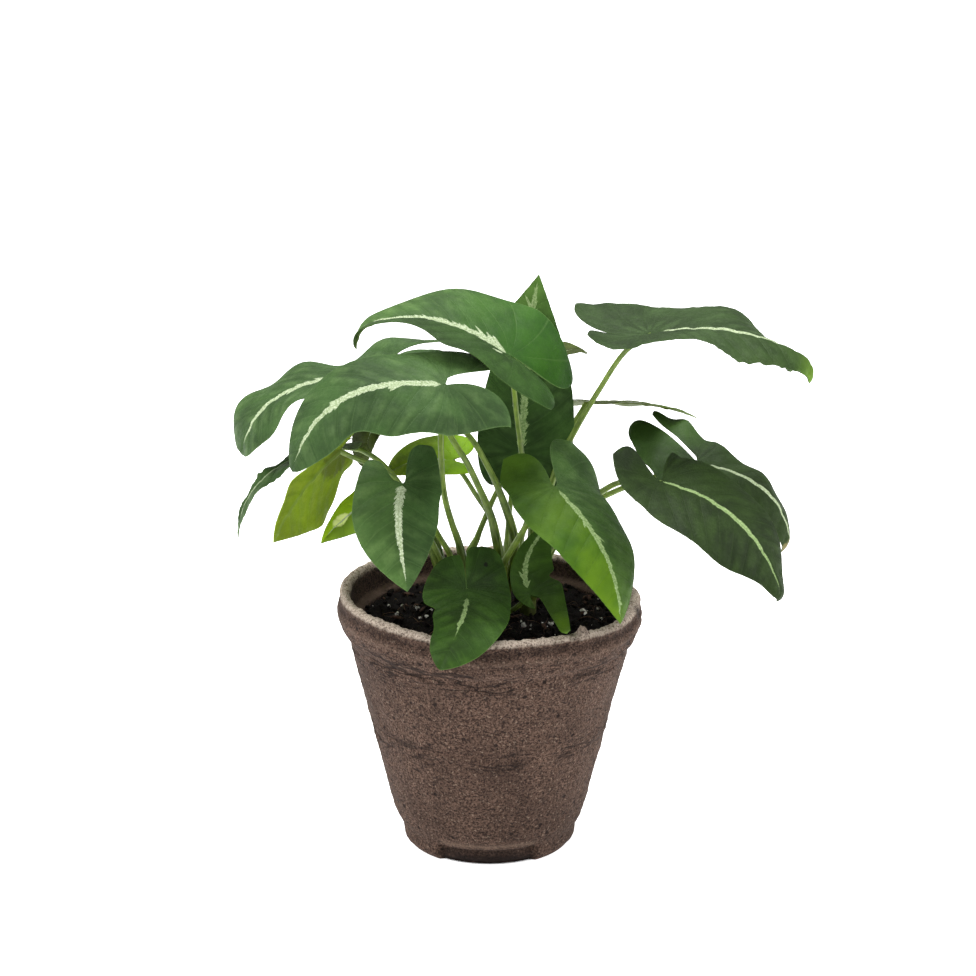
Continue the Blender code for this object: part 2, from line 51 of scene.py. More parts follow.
# Driving sizes, the same as the model's
RIM_RADIUS = 55.0
POT_HEIGHT = 94.0
RIM_SLANT = 2.0
SOIL_LEVEL = 83.8
BLADE_HALF = 0.35
STEM_RADIUS = 3.0
STEM_BOTTOM = 60.0
STEM_TOP = 96.0
PETIOLE_END = 0.85

# Fineness of the meshes; a blade's columns are closer together near the midrib
LOBE_ROWS = 24
FRONT_ROWS = 88
HALF_COLUMNS = 16
COLUMN_CROWDING = 1.15
STALK_SIDES = 12
STALK_STEPS = 9
POT_SEGMENTS = 360

# Each leaf blade. Pairs are (left half, right half), looking from the base to the tip
# with the upper face up. base and tip end the midrib; rise lifts its first and second
# third and sway moves them sideways; roll and twist turn the blade about the midrib;
# hook bends the part past hook_from down. width, lobe and gap size each half, its back
# lobe and the slit between the lobes. fold lifts the halves at the base and at the tip,
# drop turns them down towards the tip, curl bends them across, droop bends the lobes
# down and splay turns them outward. dents are (half, place along the blade, depth,
# length) of dips in the outline; a negative depth is a swell.
LEAVES = {
    "left_front": dict(
        base=(-15, -31, 179), tip=(-67.2, -41, 151), rise=(15, 21), roll=28,
        width=(20.5, 22), lobe=(27, 21), lobe_out=(1.1, 0.75), gap=(0.4, 12), widest=(0.3, 0.0),
        splay=(-25, 0), taper=(1.6, 0.62), fold=(-8, -10), curl=(-12, -8), droop=(10, -2),
        dents=((0, 0.58, 8, 0.15), (1, 0.72, -10, 0.2), (1, -0.2, -2.5, 0.15)), wave=(0.8, 2, 0)),
    "top_left": dict(
        base=(7, -2, 182), tip=(-52, 6, 186.5), rise=(12, 15), roll=16, twist=-18, hook=65,
        width=(20, 28.5), lobe=(23, 25), lobe_out=(0.7, 0.66), square=(3, 2), widest=(0.02, 0.02),
        splay=(-14, 0), taper=(1.8, 0.85), fold=(12, 12),
        dents=((0, 0.36, -4.5, 0.09), (0, 0.58, 1.5, 0.1), (1, 0.75, 14, 0.2), (1, 0.05, -2, 0.15)),
        curl=(-10, -10), droop=(20, 38), wave=(0.8, 2, 0)),
    "left_back": dict(
        base=(-34, 25, 175), tip=(-89, 10, 142.5), rise=(0, 24), roll=-6, twist=12,
        width=(17, 25), lobe=(18, 20), gap=(1, 4), taper=(6, 0.4),
        fold=(6, 0), curl=(-10, -10), droop=(60, 45), wave=(2.2, 2.4, -0.16)),
    "left_narrow": dict(
        base=(-56, 19, 143.3), tip=(-90.8, 4, 112), rise=(10, 17), roll=-2,
        width=(14, 5), lobe=(8, 8), taper=(1.6, 1.0), fold=(8, 8), wave=(1.4, 3.5, 0)),
    "left_lime": dict(
        base=(-53, 0, 147), tip=(-76, -20, 119), rise=(4, 4), roll=-70,
        width=(6.5, 24), lobe=(8, 5), dents=((0, 0.62, -5, 0.2), (1, 0.05, 8.5, 0.2)),
        widest=(0.5, 0.5), taper=(2.0, 1.0), wave=(0.5, 2.5, 0)),
    "left_yellow": dict(
        base=(-41, -3, 131.5), tip=(-59.6, -14, 116.8), rise=(0, 2), roll=30,
        width=(12, 6.5), lobe=(5, 5), fold=(5, 5), wave=(0.6, 2, 0)),
    "left_small": dict(
        base=(-37.5, 23, 156.5), tip=(-46, 23, 134), rise=(2, 3), roll=50,
        width=(4, 8), lobe=(3, 3), widest=(0.4, 0.4), taper=(2.4, 0.7), wave=(0.3, 2, 0)),
    "front_left": dict(
        base=(-30, -25, 142), tip=(-28, -50, 111), rise=(4, 8), sway=(4, 2),
        width=(14, 16), lobe=(19.5, 11), lobe_out=(0.75, 0.85), square=(3, 2.5), gap=(2, 9),
        splay=(-16, 0), widest=(0.3, 0.3), taper=(2.0, 1.0), fold=(4, 4), curl=(-10, -10),
        droop=(0, 30), wave=(0.6, 2, 0)),
    "front_low": dict(
        base=(-8, -24, 103), tip=(-17, -63, 87.5), rise=(3, 10), sway=(-4, -6),
        width=(15.5, 16.5), lobe=(20, 17), gap=(0.05, 0.05), lobe_out=(0.25, 0.15), square=(4, 2.6),
        dents=((1, 0.3, 5.6, 0.15), (1, 0.68, 15, 0.28)), widest=(0.4, 0.3), taper=(2.4, 0.8),
        curl=(-15, -15), droop=(-45, -40), wave=(0.6, 2, 0)),
    "front_right": dict(
        base=(23, -22, 140), tip=(45, -49, 99), rise=(8, 14),
        width=(22, 18), lobe=(32, 26), lobe_out=(1.0, 1.0), square=(3, 2.5), widest=(0.15, 0.1),
        gap=(4, 3), splay=(22, -30), dents=((0, -0.22, -7.5, 0.28), (1, -0.28, -3, 0.16)),
        taper=(2.0, 0.95), fold=(-12, -12), curl=(-14, -10), droop=(8, -4), wave=(0.6, 2, 0)),
    "top_back": dict(
        base=(11.2, 26, 139.6), tip=(18, 38, 202.5), heading=90, sway=(0, -2),
        width=(16, 19), lobe=(14, 14), dents=((0, 0.8, -9, 0.15),), fold=(4, 4), curl=(-10, -10),
        droop=(10, 10), wave=(0.8, 2, 0)),
    "back_small": dict(
        base=(20, 42, 166), tip=(36, 46, 171), rise=(3, 6),
        width=(10, 10), lobe=(8, 8), taper=(2.2, 0.7), fold=(8, 8), wave=(0.6, 2, 0)),
    "right_high": dict(
        base=(57, 10, 187), tip=(120.2, -2, 175.3), rise=(9, 11.4), roll=-3, twist=-14, hook=85,
        width=(26, 21), lobe=(31, 21.5), lobe_out=(0.8, 0.62), gap=(0.2, 0.2), square=(2.6, 4),
        taper=(2.4, 0.75), dents=((0, 0.46, -6, 0.12), (1, 0.3, 11, 0.15)), fold=(12, -12),
        drop=(94, 0), curl=(-10, -10), droop=(-33, -30), wave=(1.6, 1.64, 0.56)),
    "right_back": dict(
        base=(36, 50, 151.7), tip=(77.2, 48, 145.9), rise=(2, 4.5), roll=17,
        width=(13, 13), lobe=(10, 10), dents=((0, 0.86, -3, 0.08),), fold=(-3, -3),
        wave=(0.8, 2, 0)),
    "right_front": dict(
        base=(59.5, -24, 142.5), tip=(101.1, -47.4, 104.9), rise=(13, 15), roll=-12, hook=95,
        hook_from=0.93,
        width=(18, 22.5), lobe=(6, 23), lobe_out=(0.7, 1.0), widest=(0.3, 0.3), square=(2, 2.5),
        gap=(4, 2), splay=(40, -37), taper=(2.2, 1.05), fold=(10, -14),
        dents=((0, 0.88, 12, 0.1), (1, 0, 3, 0.1), (1, 0.86, 14, 0.12)),
        curl=(-10, -10), droop=(-25, -60), wave=(0.8, 2, 0)),
    "right_middle": dict(
        base=(75.5, 20, 136.6), tip=(108.7, 6, 104.5), rise=(12, 18.5), hook=60, hook_from=0.84,
        roll=-22, twist=22,
        width=(12.5, 21.5), lobe=(30, 44.5), lobe_out=(0.6, 0.55), square=(2, 2.4), gap=(6, 0.2),
        splay=(30, -41.5), widest=(0, 0), taper=(1.6, 0.9),
        dents=((0, -0.28, -3.8, 0.26), (0, 0, -1.5, 0.1)), fold=(0, -22), curl=(-10, -10), droop=(1, 10),
        wave=(1.2, 3, 0)),
    "middle_low": dict(
        base=(14.5, -20, 99.5), tip=(23, -4, 123), rise=(-4, -3), heading=78, sway=(-9, -6),
        width=(5.5, 12), lobe=(7, 38), lobe_out=(0.15, 0.76), square=(1.3, 1.8), gap=(0.8, 7.6),
        dents=((1, 0.25, 4, 0.1),), splay=(0, -12), fold=(4, 4), curl=(-10, -10),
        droop=(-10, -50), wave=(0.6, 2, 0)),
    "middle_lime": dict(
        base=(-13, 17, 138.5), tip=(-37, 22, 132.5), rise=(2, 3), roll=25,
        width=(8, 14), lobe=(8, 6), taper=(3, 0.6), fold=(4, 4), curl=(-10, -10),
        droop=(10, 10)),
}

# Each shoot: where its short stem stands, and for each leaf that it carries the radius
# at the root and the points that the leaf stalk passes on its way up to the blade.
SHOOTS = {
    "left": dict(at=(-13, 9), stalks={
        "top_back": (1.2, (-10, 16, 97), (-5, 20, 107), (-1, 23, 116), (3, 27, 124), (8, 30, 132)),
        "front_left": (1.3, (-13.5, 3, 97), (-14, -2, 108), (-18, -6, 117), (-24, -14, 131)),
        "left_narrow": (1.2, (-17, 5, 97), (-21, 4, 109), (-30, 6, 129), (-38, 11, 138.2),
                        (-45, 14.5, 142.3), (-50, 17, 142.8)),
        "left_lime": (1.1, (-16, 7, 98), (-20, 8, 112), (-28, 5, 127), (-38, 3, 139),
                      (-46, 1, 143)),
        "left_yellow": (1.1, (-15, 5, 97), (-18, 1, 107), (-25, 1, 120), (-34, -1, 128.5)),
    }),
    "front": dict(at=(-3, -1), stalks={
        "left_front": (1.4, (-7, 1, 97), (-11, 3, 111), (-16, -2, 131), (-17, -13, 156),
                       (-15.5, -23, 170.5)),
        "front_right": (1.5, (1, -2, 96), (3, -3, 102), (8, -6, 112), (13, -10, 122),
                        (18, -16, 132)),
        "front_low": (1.2, (-4, -5, 91), (-5, -12, 95), (-7, -19, 99)),
        "middle_low": (1.1, (1, -6, 88.5), (5, -12, 90), (9, -17, 93.5)),
    }),
    "back": dict(at=(5, 14), stalks={
        "left_back": (1.4, (5, 9, 97), (3, 5, 110), (0, 6, 122), (-7, 8, 138), (-12, 10, 146),
                      (-17, 13, 154), (-22, 18, 161.5), (-27, 23.5, 168)),
        "left_small": (1.2, (8, 11, 98), (9, 9, 112), (3, 10, 130), (-4, 12, 144), (-9, 15, 150),
                       (-15, 21, 154.5), (-21, 26, 156.5), (-27, 26, 157)),
        "middle_lime": (1.0, (3, 12, 97), (3, 11, 108), (0, 11, 119), (-5, 12, 127),
                        (-9, 14, 133)),
        "back_small": (1.1, (6, 18, 97), (7, 26, 112), (10, 36, 132), (15, 41, 152)),
        "right_back": (1.2, (9, 17, 97), (13, 26, 110), (22, 40, 128), (31, 48, 143)),
    }),
    "right": dict(at=(14, 6), stalks={
        "top_left": (1.3, (14, 9, 97), (15.5, 13.5, 112), (14, 15, 127), (11.5, 13.5, 143),
                     (9.5, 8, 160), (8.5, 2, 170)),
        "right_high": (1.5, (14, 9, 97), (15, 13, 108), (20, 19, 120.5), (25, 23, 135),
                       (31, 23, 147.7), (39, 17, 164), (48, 11, 180)),
        "right_front": (1.4, (17, 5, 96), (23, 8, 109), (33, 11, 122), (43, 11, 130),
                        (49, 3, 134.5), (54, -8, 137)),
        "right_middle": (1.4, (18, 9, 96), (24, 15, 108), (34, 20, 119), (45, 21, 125),
                         (58, 22, 130), (68, 21, 132.5)),
    }),
}

# Leaf colours as (dark, middle, pale), in sRGB from 0 to 255
TONES = {
    "moss": ((40, 62, 28), (57, 85, 40), (84, 110, 62)),
    "leafy": ((36, 58, 22), (50, 80, 30), (76, 106, 52)),
    "deep": ((32, 49, 18), (44, 65, 27), (64, 87, 46)),
    # shaded_deep is the deep green with painted shade, for the leaves on the right
    "shaded_deep": ((22, 36, 8), (33, 51, 13), (48, 68, 27)),
    "fresh": ((30, 50, 12), (44, 72, 20), (66, 98, 34)),
    # shaded and pale are the moss green with painted shade and with painted light
    "shaded": ((32, 50, 18), (44, 68, 26), (62, 88, 42)),
    "pale": ((50, 74, 34), (72, 102, 50), (100, 128, 72)),
    "olive": ((40, 50, 12), (58, 70, 20), (84, 98, 36)),
    "lime": ((78, 100, 6), (106, 136, 12), (140, 160, 40)),
}
YOUNG = ((60, 98, 8), (92, 126, 16))
MINT = ((122, 140, 98), (184, 196, 164))
PALE_MINT = ((140, 158, 116), (205, 216, 186))
GREEN_MINT = ((104, 130, 74), (152, 173, 120))

# How each leaf is painted. tones are those of its left and right halves; band is the pale
# band's half width near the base, in the middle and near the tip, and span the stretch of
# the midrib that it covers; ragged is how uneven its sides are, and barbs how far they
# reach; lime is how much the left and right halves take at the STATIONS of young_and_lit,
# the two colours of new growth, which on left_front's right lobe and right_middle's lobes
# are painted light; spot_and_shadow is a patch's share along the midrib, its distance to the
# right in mm, its half length, half width and colour, and on left_lime it is a painted
# shadow; nibble is how far the margin is eaten, in mm.
# STATIONS are shares of a lobe behind the base, and of the midrib in front of it.
STATIONS = (-1.0, 0.0, 0.4, 0.8, 1.0)
NO_LIME = ((0, 0, 0, 0, 0), (0, 0, 0, 0, 0))
NO_SPOT = (-9.0, 0.0, 1.0, 1.0, (0, 0, 0))
PLAIN_NIBBLE = 0.12
PAINT = {
    # left_front: its right lobe takes young_and_lit colours as painted light
    "left_front": dict(
        tones=("moss", "moss"), band=(1.5, 1.35, 0.6), span=(0.02, 0.95), ragged=1.0, barbs=0.9,
        young_and_lit=((70, 98, 52), (90, 118, 66)), lime=((0, 0, 0, 0, 0), (1, 0.2, 0, 0, 0))),
    # top_left: painted shade on its left half and painted light on its right half
    "top_left": dict(
        tones=("shaded", "pale"), band=(1.9, 1.5, 0.9), span=(0.02, 0.98), ragged=1.0, barbs=1.4,
        young_and_lit=((28, 68, 8), (46, 88, 16)), lime=((0.4, 0.2, 0.1, 0.05, 0.05), (1, 0.9, 0.3, 0.05, 0))),
    "left_back": dict(
        tones=("moss", "moss"), band=(1.9, 2.0, 1.1), span=(0.02, 0.95), ragged=0.9, barbs=0.9,
        nibble=0.22),
    "left_narrow": dict(
        tones=("moss", "moss"), band=(0.5, 0.5, 0.4), span=(0.05, 0.9), ragged=0.3, nibble=1.3,
        young_and_lit=((84, 100, 54), (110, 126, 76)), lime=((0.9, 0.6, 0, 0, 0), (0.9, 0.6, 0, 0, 0))),
    # left_lime: the dark patch near its base is a painted shadow
    "left_lime": dict(
        tones=("lime", "lime"), band=(0.3, 0.3, 0.1), span=(0.0, 0.8), ragged=0.1,
        spot_and_shadow=(0.08, 3.5, 8.0, 6.5, (36, 48, 16))),
    "left_yellow": dict(
        tones=("fresh", "lime"), band=(0.5, 0.4, 0.2), span=(0.1, 0.9), ragged=0.6,
        young_and_lit=((124, 160, 12), (152, 186, 34)), lime=((0.6, 0.45, 0.35, 0.4, 0.6), (1, 1, 1, 1, 1)),
        spot_and_shadow=(0.58, 0.3, 3.6, 2.2, (196, 210, 128))),
    "left_small": dict(
        tones=("olive", "olive"), band=(0.2, 0.2, 0.1), span=(0.1, 0.6), ragged=0.2),
    # front_left: painted light on its right half
    "front_left": dict(
        tones=("moss", "pale"), band=(1.8, 1.2, 0.35), span=(0.02, 0.93), ragged=1.3, mint=PALE_MINT),
    "front_low": dict(
        tones=("fresh", "fresh"), band=(0.7, 0.85, 0.25), span=(0.14, 0.74), ragged=1.3, barbs=0.8,
        mint=GREEN_MINT, spot_and_shadow=(-0.28, -7.3, 1.1, 0.9, (14, 18, 8))),
    "front_right": dict(
        tones=("moss", "fresh"), band=(0.9, 0.95, 0.6), span=(0.03, 0.96), ragged=1.2, barbs=1.8,
        mint=GREEN_MINT, lime=((0.1, 0.05, 0.1, 0.3, 0.5), (0.35, 0.3, 0.6, 0.8, 0.9))),
    "top_back": dict(
        tones=("leafy", "leafy"), band=(1.6, 1.1, 1.0), span=(0.0, 0.96), ragged=1.4, barbs=2.0,
        mint=GREEN_MINT, young_and_lit=((70, 104, 40), (92, 126, 56)), lime=((0, 0, 0, 0.5, 1), (0, 0, 0, 0.5, 1))),
    "back_small": dict(
        tones=("olive", "olive"), band=(0.4, 0.4, 0.2), span=(0.1, 0.8), ragged=0.5),
    "right_high": dict(
        tones=("deep", "deep"), band=(1.0, 1.3, 0.4), span=(0.05, 0.82), ragged=0.5, barbs=0.6,
        nibble=1.0, lime=((0, 0, 0, 0.1, 1), (0, 0, 0, 0.1, 1))),
    "right_back": dict(
        tones=("olive", "olive"), band=(0.5, 0.4, 0.2), span=(0.1, 0.8), ragged=0.5,
        lime=((0, 0, 0, 0.4, 0.8), (0, 0, 0, 0.4, 0.8))),
    "right_front": dict(
        tones=("shaded_deep", "shaded_deep"), band=(0.7, 1.15, 0.4), span=(0.0, 0.92), ragged=0.5, barbs=0.8,
        mint=GREEN_MINT),
    # right_middle: its lobes take young_and_lit colours as painted light
    "right_middle": dict(
        tones=("shaded_deep", "shaded_deep"), band=(0.6, 0.9, 0.5), span=(0.06, 0.9), ragged=0.4, barbs=0.6,
        nibble=0.25, young_and_lit=((46, 70, 28), (64, 92, 42)), lime=((1, 0.3, 0, 0, 0), (1, 0.4, 0, 0, 0)),
        spot_and_shadow=(0.97, 0.0, 6.0, 5.0, (104, 98, 58))),
    "middle_low": dict(
        tones=("fresh", "fresh"), band=(1.1, 0.9, 0.5), span=(0.1, 0.9), ragged=1.3, mint=GREEN_MINT,
        young_and_lit=((58, 84, 12), (86, 116, 24)), lime=((0.3, 0.1, 0.1, 0.1, 0.1), (1, 0.1, 0.1, 0.1, 0.1))),
    "middle_lime": dict(
        tones=("lime", "lime"), band=(0.5, 0.4, 0.2), span=(0.1, 0.8), ragged=0.4,
        young_and_lit=((100, 142, 8), (128, 170, 18)), lime=((1, 0.9, 0.2, 0, 0), (1, 0.9, 0.2, 0, 0))),
}


def unit(v):
    return v / np.linalg.norm(v)


def smoothstep(value, low, high):
    """0 at low and 1 at high, with a smooth rise between them; low may be above high."""
    t = np.clip((value - low) / (high - low), 0.0, 1.0)
    return t * t * (3 - 2 * t)


def hill(value, middle, half_width):
    """A smooth hill, 1 at the middle."""
    return np.exp(-((value - middle) / half_width) ** 2)


def rough(points, size, seed=0.0):
    """Smooth random values from -1 to 1 at the points, with lumps about size wide."""
    shift = Vector((seed, 2.3 * seed, 5.1 * seed))
    return np.array([noise.noise(Vector(p) / size + shift) for p in points])


def srgb(colour):
    """Linear colour with alpha from an sRGB triple from 0 to 255."""
    linear = [v / 12.92 if v <= 0.04045 else ((v + 0.055) / 1.055) ** 2.4
              for v in (c / 255 for c in colour)]
    return (*linear, 1.0)


class Graph:
    """Short calls that add nodes and links to one new material."""

    def __init__(self, name):
        self.material = bpy.data.materials.new(name)
        self.material.use_nodes = True
        self.tree = self.material.node_tree
        self.shader = self.tree.nodes["Principled BSDF"]

    def feed(self, socket, value):
        """Link a socket to another one, or set its value."""
        if isinstance(value, bpy.types.NodeSocket):
            self.tree.links.new(value, socket)
        else:
            socket.default_value = value

    def attribute(self, name, kind="Vector"):
        node = self.tree.nodes.new("ShaderNodeAttribute")
        node.attribute_name = name
        return node.outputs[kind]

    def place(self):
        return self.tree.nodes.new("ShaderNodeTexCoord").outputs["Object"]

    def mapped(self, vector, move=(0.0, 0.0, 0.0), scale=(1.0, 1.0, 1.0)):
        """The vector scaled and then moved."""
        node = self.tree.nodes.new("ShaderNodeMapping")
        self.feed(node.inputs["Vector"], vector)
        self.feed(node.inputs["Location"], move)
        self.feed(node.inputs["Scale"], scale)
        return node.outputs[0]

    def split(self, vector):
        node = self.tree.nodes.new("ShaderNodeSeparateXYZ")
        self.feed(node.inputs[0], vector)
        return node.outputs[0], node.outputs[1], node.outputs[2]

    def join(self, x, y, z):
        node = self.tree.nodes.new("ShaderNodeCombineXYZ")
        for socket, value in zip(node.inputs, (x, y, z)):
            self.feed(socket, value)
        return node.outputs[0]

    def calc(self, operation, *values):
        node = self.tree.nodes.new("ShaderNodeMath")
        node.operation = operation
        for socket, value in zip(node.inputs, values):
            self.feed(socket, value)
        return node.outputs[0]

    def times(self, first, second):
        return self.calc("MULTIPLY", first, second)

    def step(self, value, low, high, start=0.0, end=1.0):
        """A smooth step from start, at low, to end, at high."""
        node = self.tree.nodes.new("ShaderNodeMapRange")
        node.interpolation_type = "SMOOTHSTEP"
        for socket, number in zip(node.inputs, (value, low, high, start, end)):
            self.feed(socket, number)
        return node.outputs[0]

    def mix(self, share, first, second):
        node = self.tree.nodes.new("ShaderNodeMix")
        node.data_type = "RGBA"
        self.feed(node.inputs["Factor"], share)
        self.feed(node.inputs[6], first)
        self.feed(node.inputs[7], second)
        return node.outputs[2]

    def tint(self, colour, share, over):
        """The colour with a share of an sRGB colour laid over it."""
        return self.mix(share, colour, srgb(over))

    def between(self, share, first, second):
        """A colour between two sRGB colours."""
        return self.mix(share, srgb(first), srgb(second))

    def noise(self, vector, scale, detail, roughness):
        node = self.tree.nodes.new("ShaderNodeTexNoise")
        self.feed(node.inputs["Vector"], vector)
        self.feed(node.inputs["Scale"], scale)
        self.feed(node.inputs["Detail"], detail)
        self.feed(node.inputs["Roughness"], roughness)
        return node.outputs[0]

    def cells(self, vector, scale, feature="F1"):
        node = self.tree.nodes.new("ShaderNodeTexVoronoi")
        node.feature = feature
        self.feed(node.inputs["Vector"], vector)
        self.feed(node.inputs["Scale"], scale)
        return node.outputs["Distance"]

    def bump(self, height, distance, under=None):
        """Relief with the given depth in millimetres where height goes from 0 to 1."""
        node = self.tree.nodes.new("ShaderNodeBump")
        node.inputs["Strength"].default_value = 1.0
        node.inputs["Distance"].default_value = distance * MM
        self.feed(node.inputs["Height"], height)
        if under is not None:
            self.feed(node.inputs["Normal"], under)
        return node.outputs[0]

    def set(self, **sockets):
        """Feed the shader's sockets, whose names have _ for each space."""
        for name, value in sockets.items():
            self.feed(self.shader.inputs[name.replace("_", " ")], value)


def add_object(name, data):
    thing = bpy.data.objects.new(name, data)
    bpy.context.scene.collection.objects.link(thing)
    return thing


def add_piece(name, points, faces, finish, sharp=60, replaces=(), attributes=None):
    """A mesh piece of the plant, with values kept for each of its points."""
    mesh = bpy.data.meshes.new(name)
    mesh.from_pydata((np.asarray(points) * MM).tolist(), [], faces)
    mesh.materials.append(finish)
    mesh.shade_smooth()
    mesh.set_sharp_from_angle(angle=math.radians(sharp))
    for key, values in (attributes or {}).items():
        values = np.asarray(values, np.float32)
        kind, field = ("FLOAT_VECTOR", "vector") if values.ndim == 2 else ("FLOAT", "value")
        mesh.attributes.new(key, kind, "POINT").data.foreach_set(field, values.ravel())
    piece = add_object(name, mesh)
    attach(piece, "root")
    if replaces:
        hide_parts(*replaces)


def tube_faces(start, rings, sides):
    """Faces of a tube of rings of points, closed at both ends; start is its first point."""
    faces = [tuple(reversed(range(start, start + sides)))]
    for ring in range(rings - 1):
        for k in range(sides):
            a = start + ring * sides + k
            b = start + ring * sides + (k + 1) % sides
            faces.append((a, b, b + sides, a + sides))
    last = start + (rings - 1) * sides
    faces.append(tuple(range(last, last + sides)))
    return faces


class Midrib:
    """The midrib's curve, with a side direction and an upper normal carried along it."""

    STEPS = 96

    def __init__(self, leaf):
        base = np.array(leaf["base"], float)
        tip = np.array(leaf["tip"], float)
        chord = tip - base
        flat = unit(np.array((chord[0], chord[1], 0.0)))
        if "heading" in leaf:
            a = math.radians(leaf["heading"])
            flat = np.array((math.cos(a), math.sin(a), 0.0))
        normal = unit(np.cross(np.cross(flat, UP), unit(chord)))
        side = unit(np.cross(unit(chord), normal))
        rise = leaf.get("rise", (0, 0))
        sway = leaf.get("sway", (0, 0))
        inner_1 = base + chord / 3 + normal * rise[0] + side * sway[0]
        inner_2 = base + chord * 2 / 3 + normal * rise[1] + side * sway[1]
        u = np.linspace(0, 1, self.STEPS + 1)[:, None]
        self.points = ((1 - u) ** 3 * base + 3 * (1 - u) ** 2 * u * inner_1
                       + 3 * (1 - u) * u * u * inner_2 + u ** 3 * tip)
        runs = np.linalg.norm(np.diff(self.points, axis=0), axis=1)
        self.dist = np.concatenate(([0], np.cumsum(runs)))
        self.length = self.dist[-1]
        tangents = np.gradient(self.points, self.dist, axis=0)
        tangents = tangents / np.linalg.norm(tangents, axis=1)[:, None]
        if "hook" in leaf:
            start = leaf.get("hook_from", 0.82)
            tangents = self.bend_tip(tangents, side, runs, math.radians(leaf["hook"]), start)
        self.tangents = tangents
        self.carry_frame(side, math.radians(leaf.get("roll", 0)), math.radians(leaf.get("twist", 0)))

    def bend_tip(self, tangents, side, runs, hook, start):
        """Bend the part past start down by the hook angle and lay its points out again."""
        bent = []
        s = side
        for t, d in zip(tangents, self.dist):
            s = unit(s - t * np.dot(s, t))
            n = np.cross(s, t)
            b = hook * max(0.0, d / self.length - start) / (1 - start)
            bent.append(t * math.cos(b) - n * math.sin(b))
        bent = np.array(bent)
        steps = (bent[1:] + bent[:-1]) / 2 * runs[:, None]
        self.points = np.vstack((self.points[:1], self.points[0] + np.cumsum(steps, axis=0)))
        return bent / np.linalg.norm(bent, axis=1)[:, None]

    def carry_frame(self, side, roll, twist):
        sides = []
        normals = []
        s = side
        for t, d in zip(self.tangents, self.dist):
            s = unit(s - t * np.dot(s, t))
            n = np.cross(s, t)
            a = roll + twist * d / self.length
            sides.append(s * math.cos(a) + n * math.sin(a))
            normals.append(n * math.cos(a) - s * math.sin(a))
        self.sides = np.array(sides)
        self.normals = np.array(normals)

    def at(self, y):
        """Point, tangent, side and normal y mm along the midrib."""
        return [np.array([np.interp(y, self.dist, rows[:, i]) for i in range(3)])
                for rows in (self.points, self.tangents, self.sides, self.normals)]


def outer_edge(y, length, leaf, half):
    """Distance of the blade's outline from the midrib's line, y mm from the base."""
    wide = leaf["width"][half]
    lobe = leaf["lobe"][half]
    lobe_tip = leaf.get("lobe_out", (0.55, 0.55))[half]
    widest = leaf.get("widest", (0.08, 0.08))[half] * length
    if y <= widest:
        e = leaf.get("square", (2, 2))[half]
        v = min(1.0, (widest - y) / (widest + lobe))
        out = wide * (lobe_tip + (1 - lobe_tip) * max(0.0, 1 - v ** e) ** (1 / e))
    else:
        p, q = leaf.get("taper", (1.9, 1.0))
        u = min(1.0, (y - widest) / (length - widest))
        out = wide * max(0.0, 1 - u ** p) ** q
    for side, place, depth, long in leaf.get("dents", ()):
        if side == half:
            off = (y / length - place) / long
            out -= depth * hill(off, 0.0, 1.0) * min(1.0, 1 - y / length)
    return out


def inner_edge(y, leaf, half):
    """Distance of a lobe's inner outline from the midrib's line; 0 in front of the base."""
    if y >= 0:
        return 0.0
    lobe_tip = leaf.get("lobe_out", (0.55, 0.55))[half] * leaf["width"][half]
    gap = leaf.get("gap", (1.5, 1.5))[half]
    e = leaf.get("square", (2, 2))[half]
    v = min(1.0, -y / leaf["lobe"][half])
    return gap * v ** 0.35 + (lobe_tip - gap) * (1 - max(0.0, 1 - v ** e) ** (1 / e))


def blade_row(midrib, leaf, across, y, half):
    """Points of the blade's middle surface, across mm from the midrib on one half."""
    sign = 1.0 if half else -1.0
    wide = leaf["width"][half]
    fold_base, fold_tip = (math.radians(f) for f in leaf.get("fold", (0, 0)))
    forward = max(0.0, y) / midrib.length
    fold = fold_base + (fold_tip - fold_base) * forward
    fold -= math.radians(leaf.get("drop", (0, 0))[half]) * forward ** 3
    curl = math.radians(leaf.get("curl", (0, 0))[half])
    if curl:
        turned_by = fold + curl * across / wide
        out = (np.sin(turned_by) - math.sin(fold)) * wide / curl
        height = (math.cos(fold) - np.cos(turned_by)) * wide / curl
    else:
        out = across * math.cos(fold)
        height = across * math.sin(fold)
    swell, cycles, phase = leaf.get("wave", (0, 2, 0))
    turns = cycles * y / midrib.length + phase + 0.4 * half
    height = height + swell * (across / wide) ** 1.5 * math.sin(2 * math.pi * turns)
    centre, tangent, side, normal = midrib.at(max(0.0, y))
    if y < 0:
        lobe = leaf["lobe"][half]
        splay = math.radians(leaf.get("splay", (0, 0))[half])
        droop = math.radians(leaf.get("droop", (0, 0))[half])
        centre = centre - side * sign * y * math.sin(splay)
        tangent = tangent * math.cos(splay)
        if droop:
            bend = droop * -y / lobe
            centre = centre - (tangent * math.sin(bend) + normal * (1 - math.cos(bend))) * lobe / droop
            normal = normal * math.cos(bend) - tangent * math.sin(bend)
        else:
            centre = centre + tangent * y
    return centre + np.outer(out * sign, side) + np.outer(height, normal)


LONG_BITE = 3.0
SHORT_BITE = 1.3
FULL_BITE_WIDTH = 3.0


def nibbled(y, half, depth, seed):
    """How far the margin is eaten in, y mm along the midrib."""
    coarse = noise.noise(Vector((y / LONG_BITE, 9.0 * half, 1.7 * seed)))
    fine = noise.noise(Vector((y / SHORT_BITE, 9.0 * half, 1.7 * seed + 40.0)))
    return depth * (coarse + 0.7 * fine)


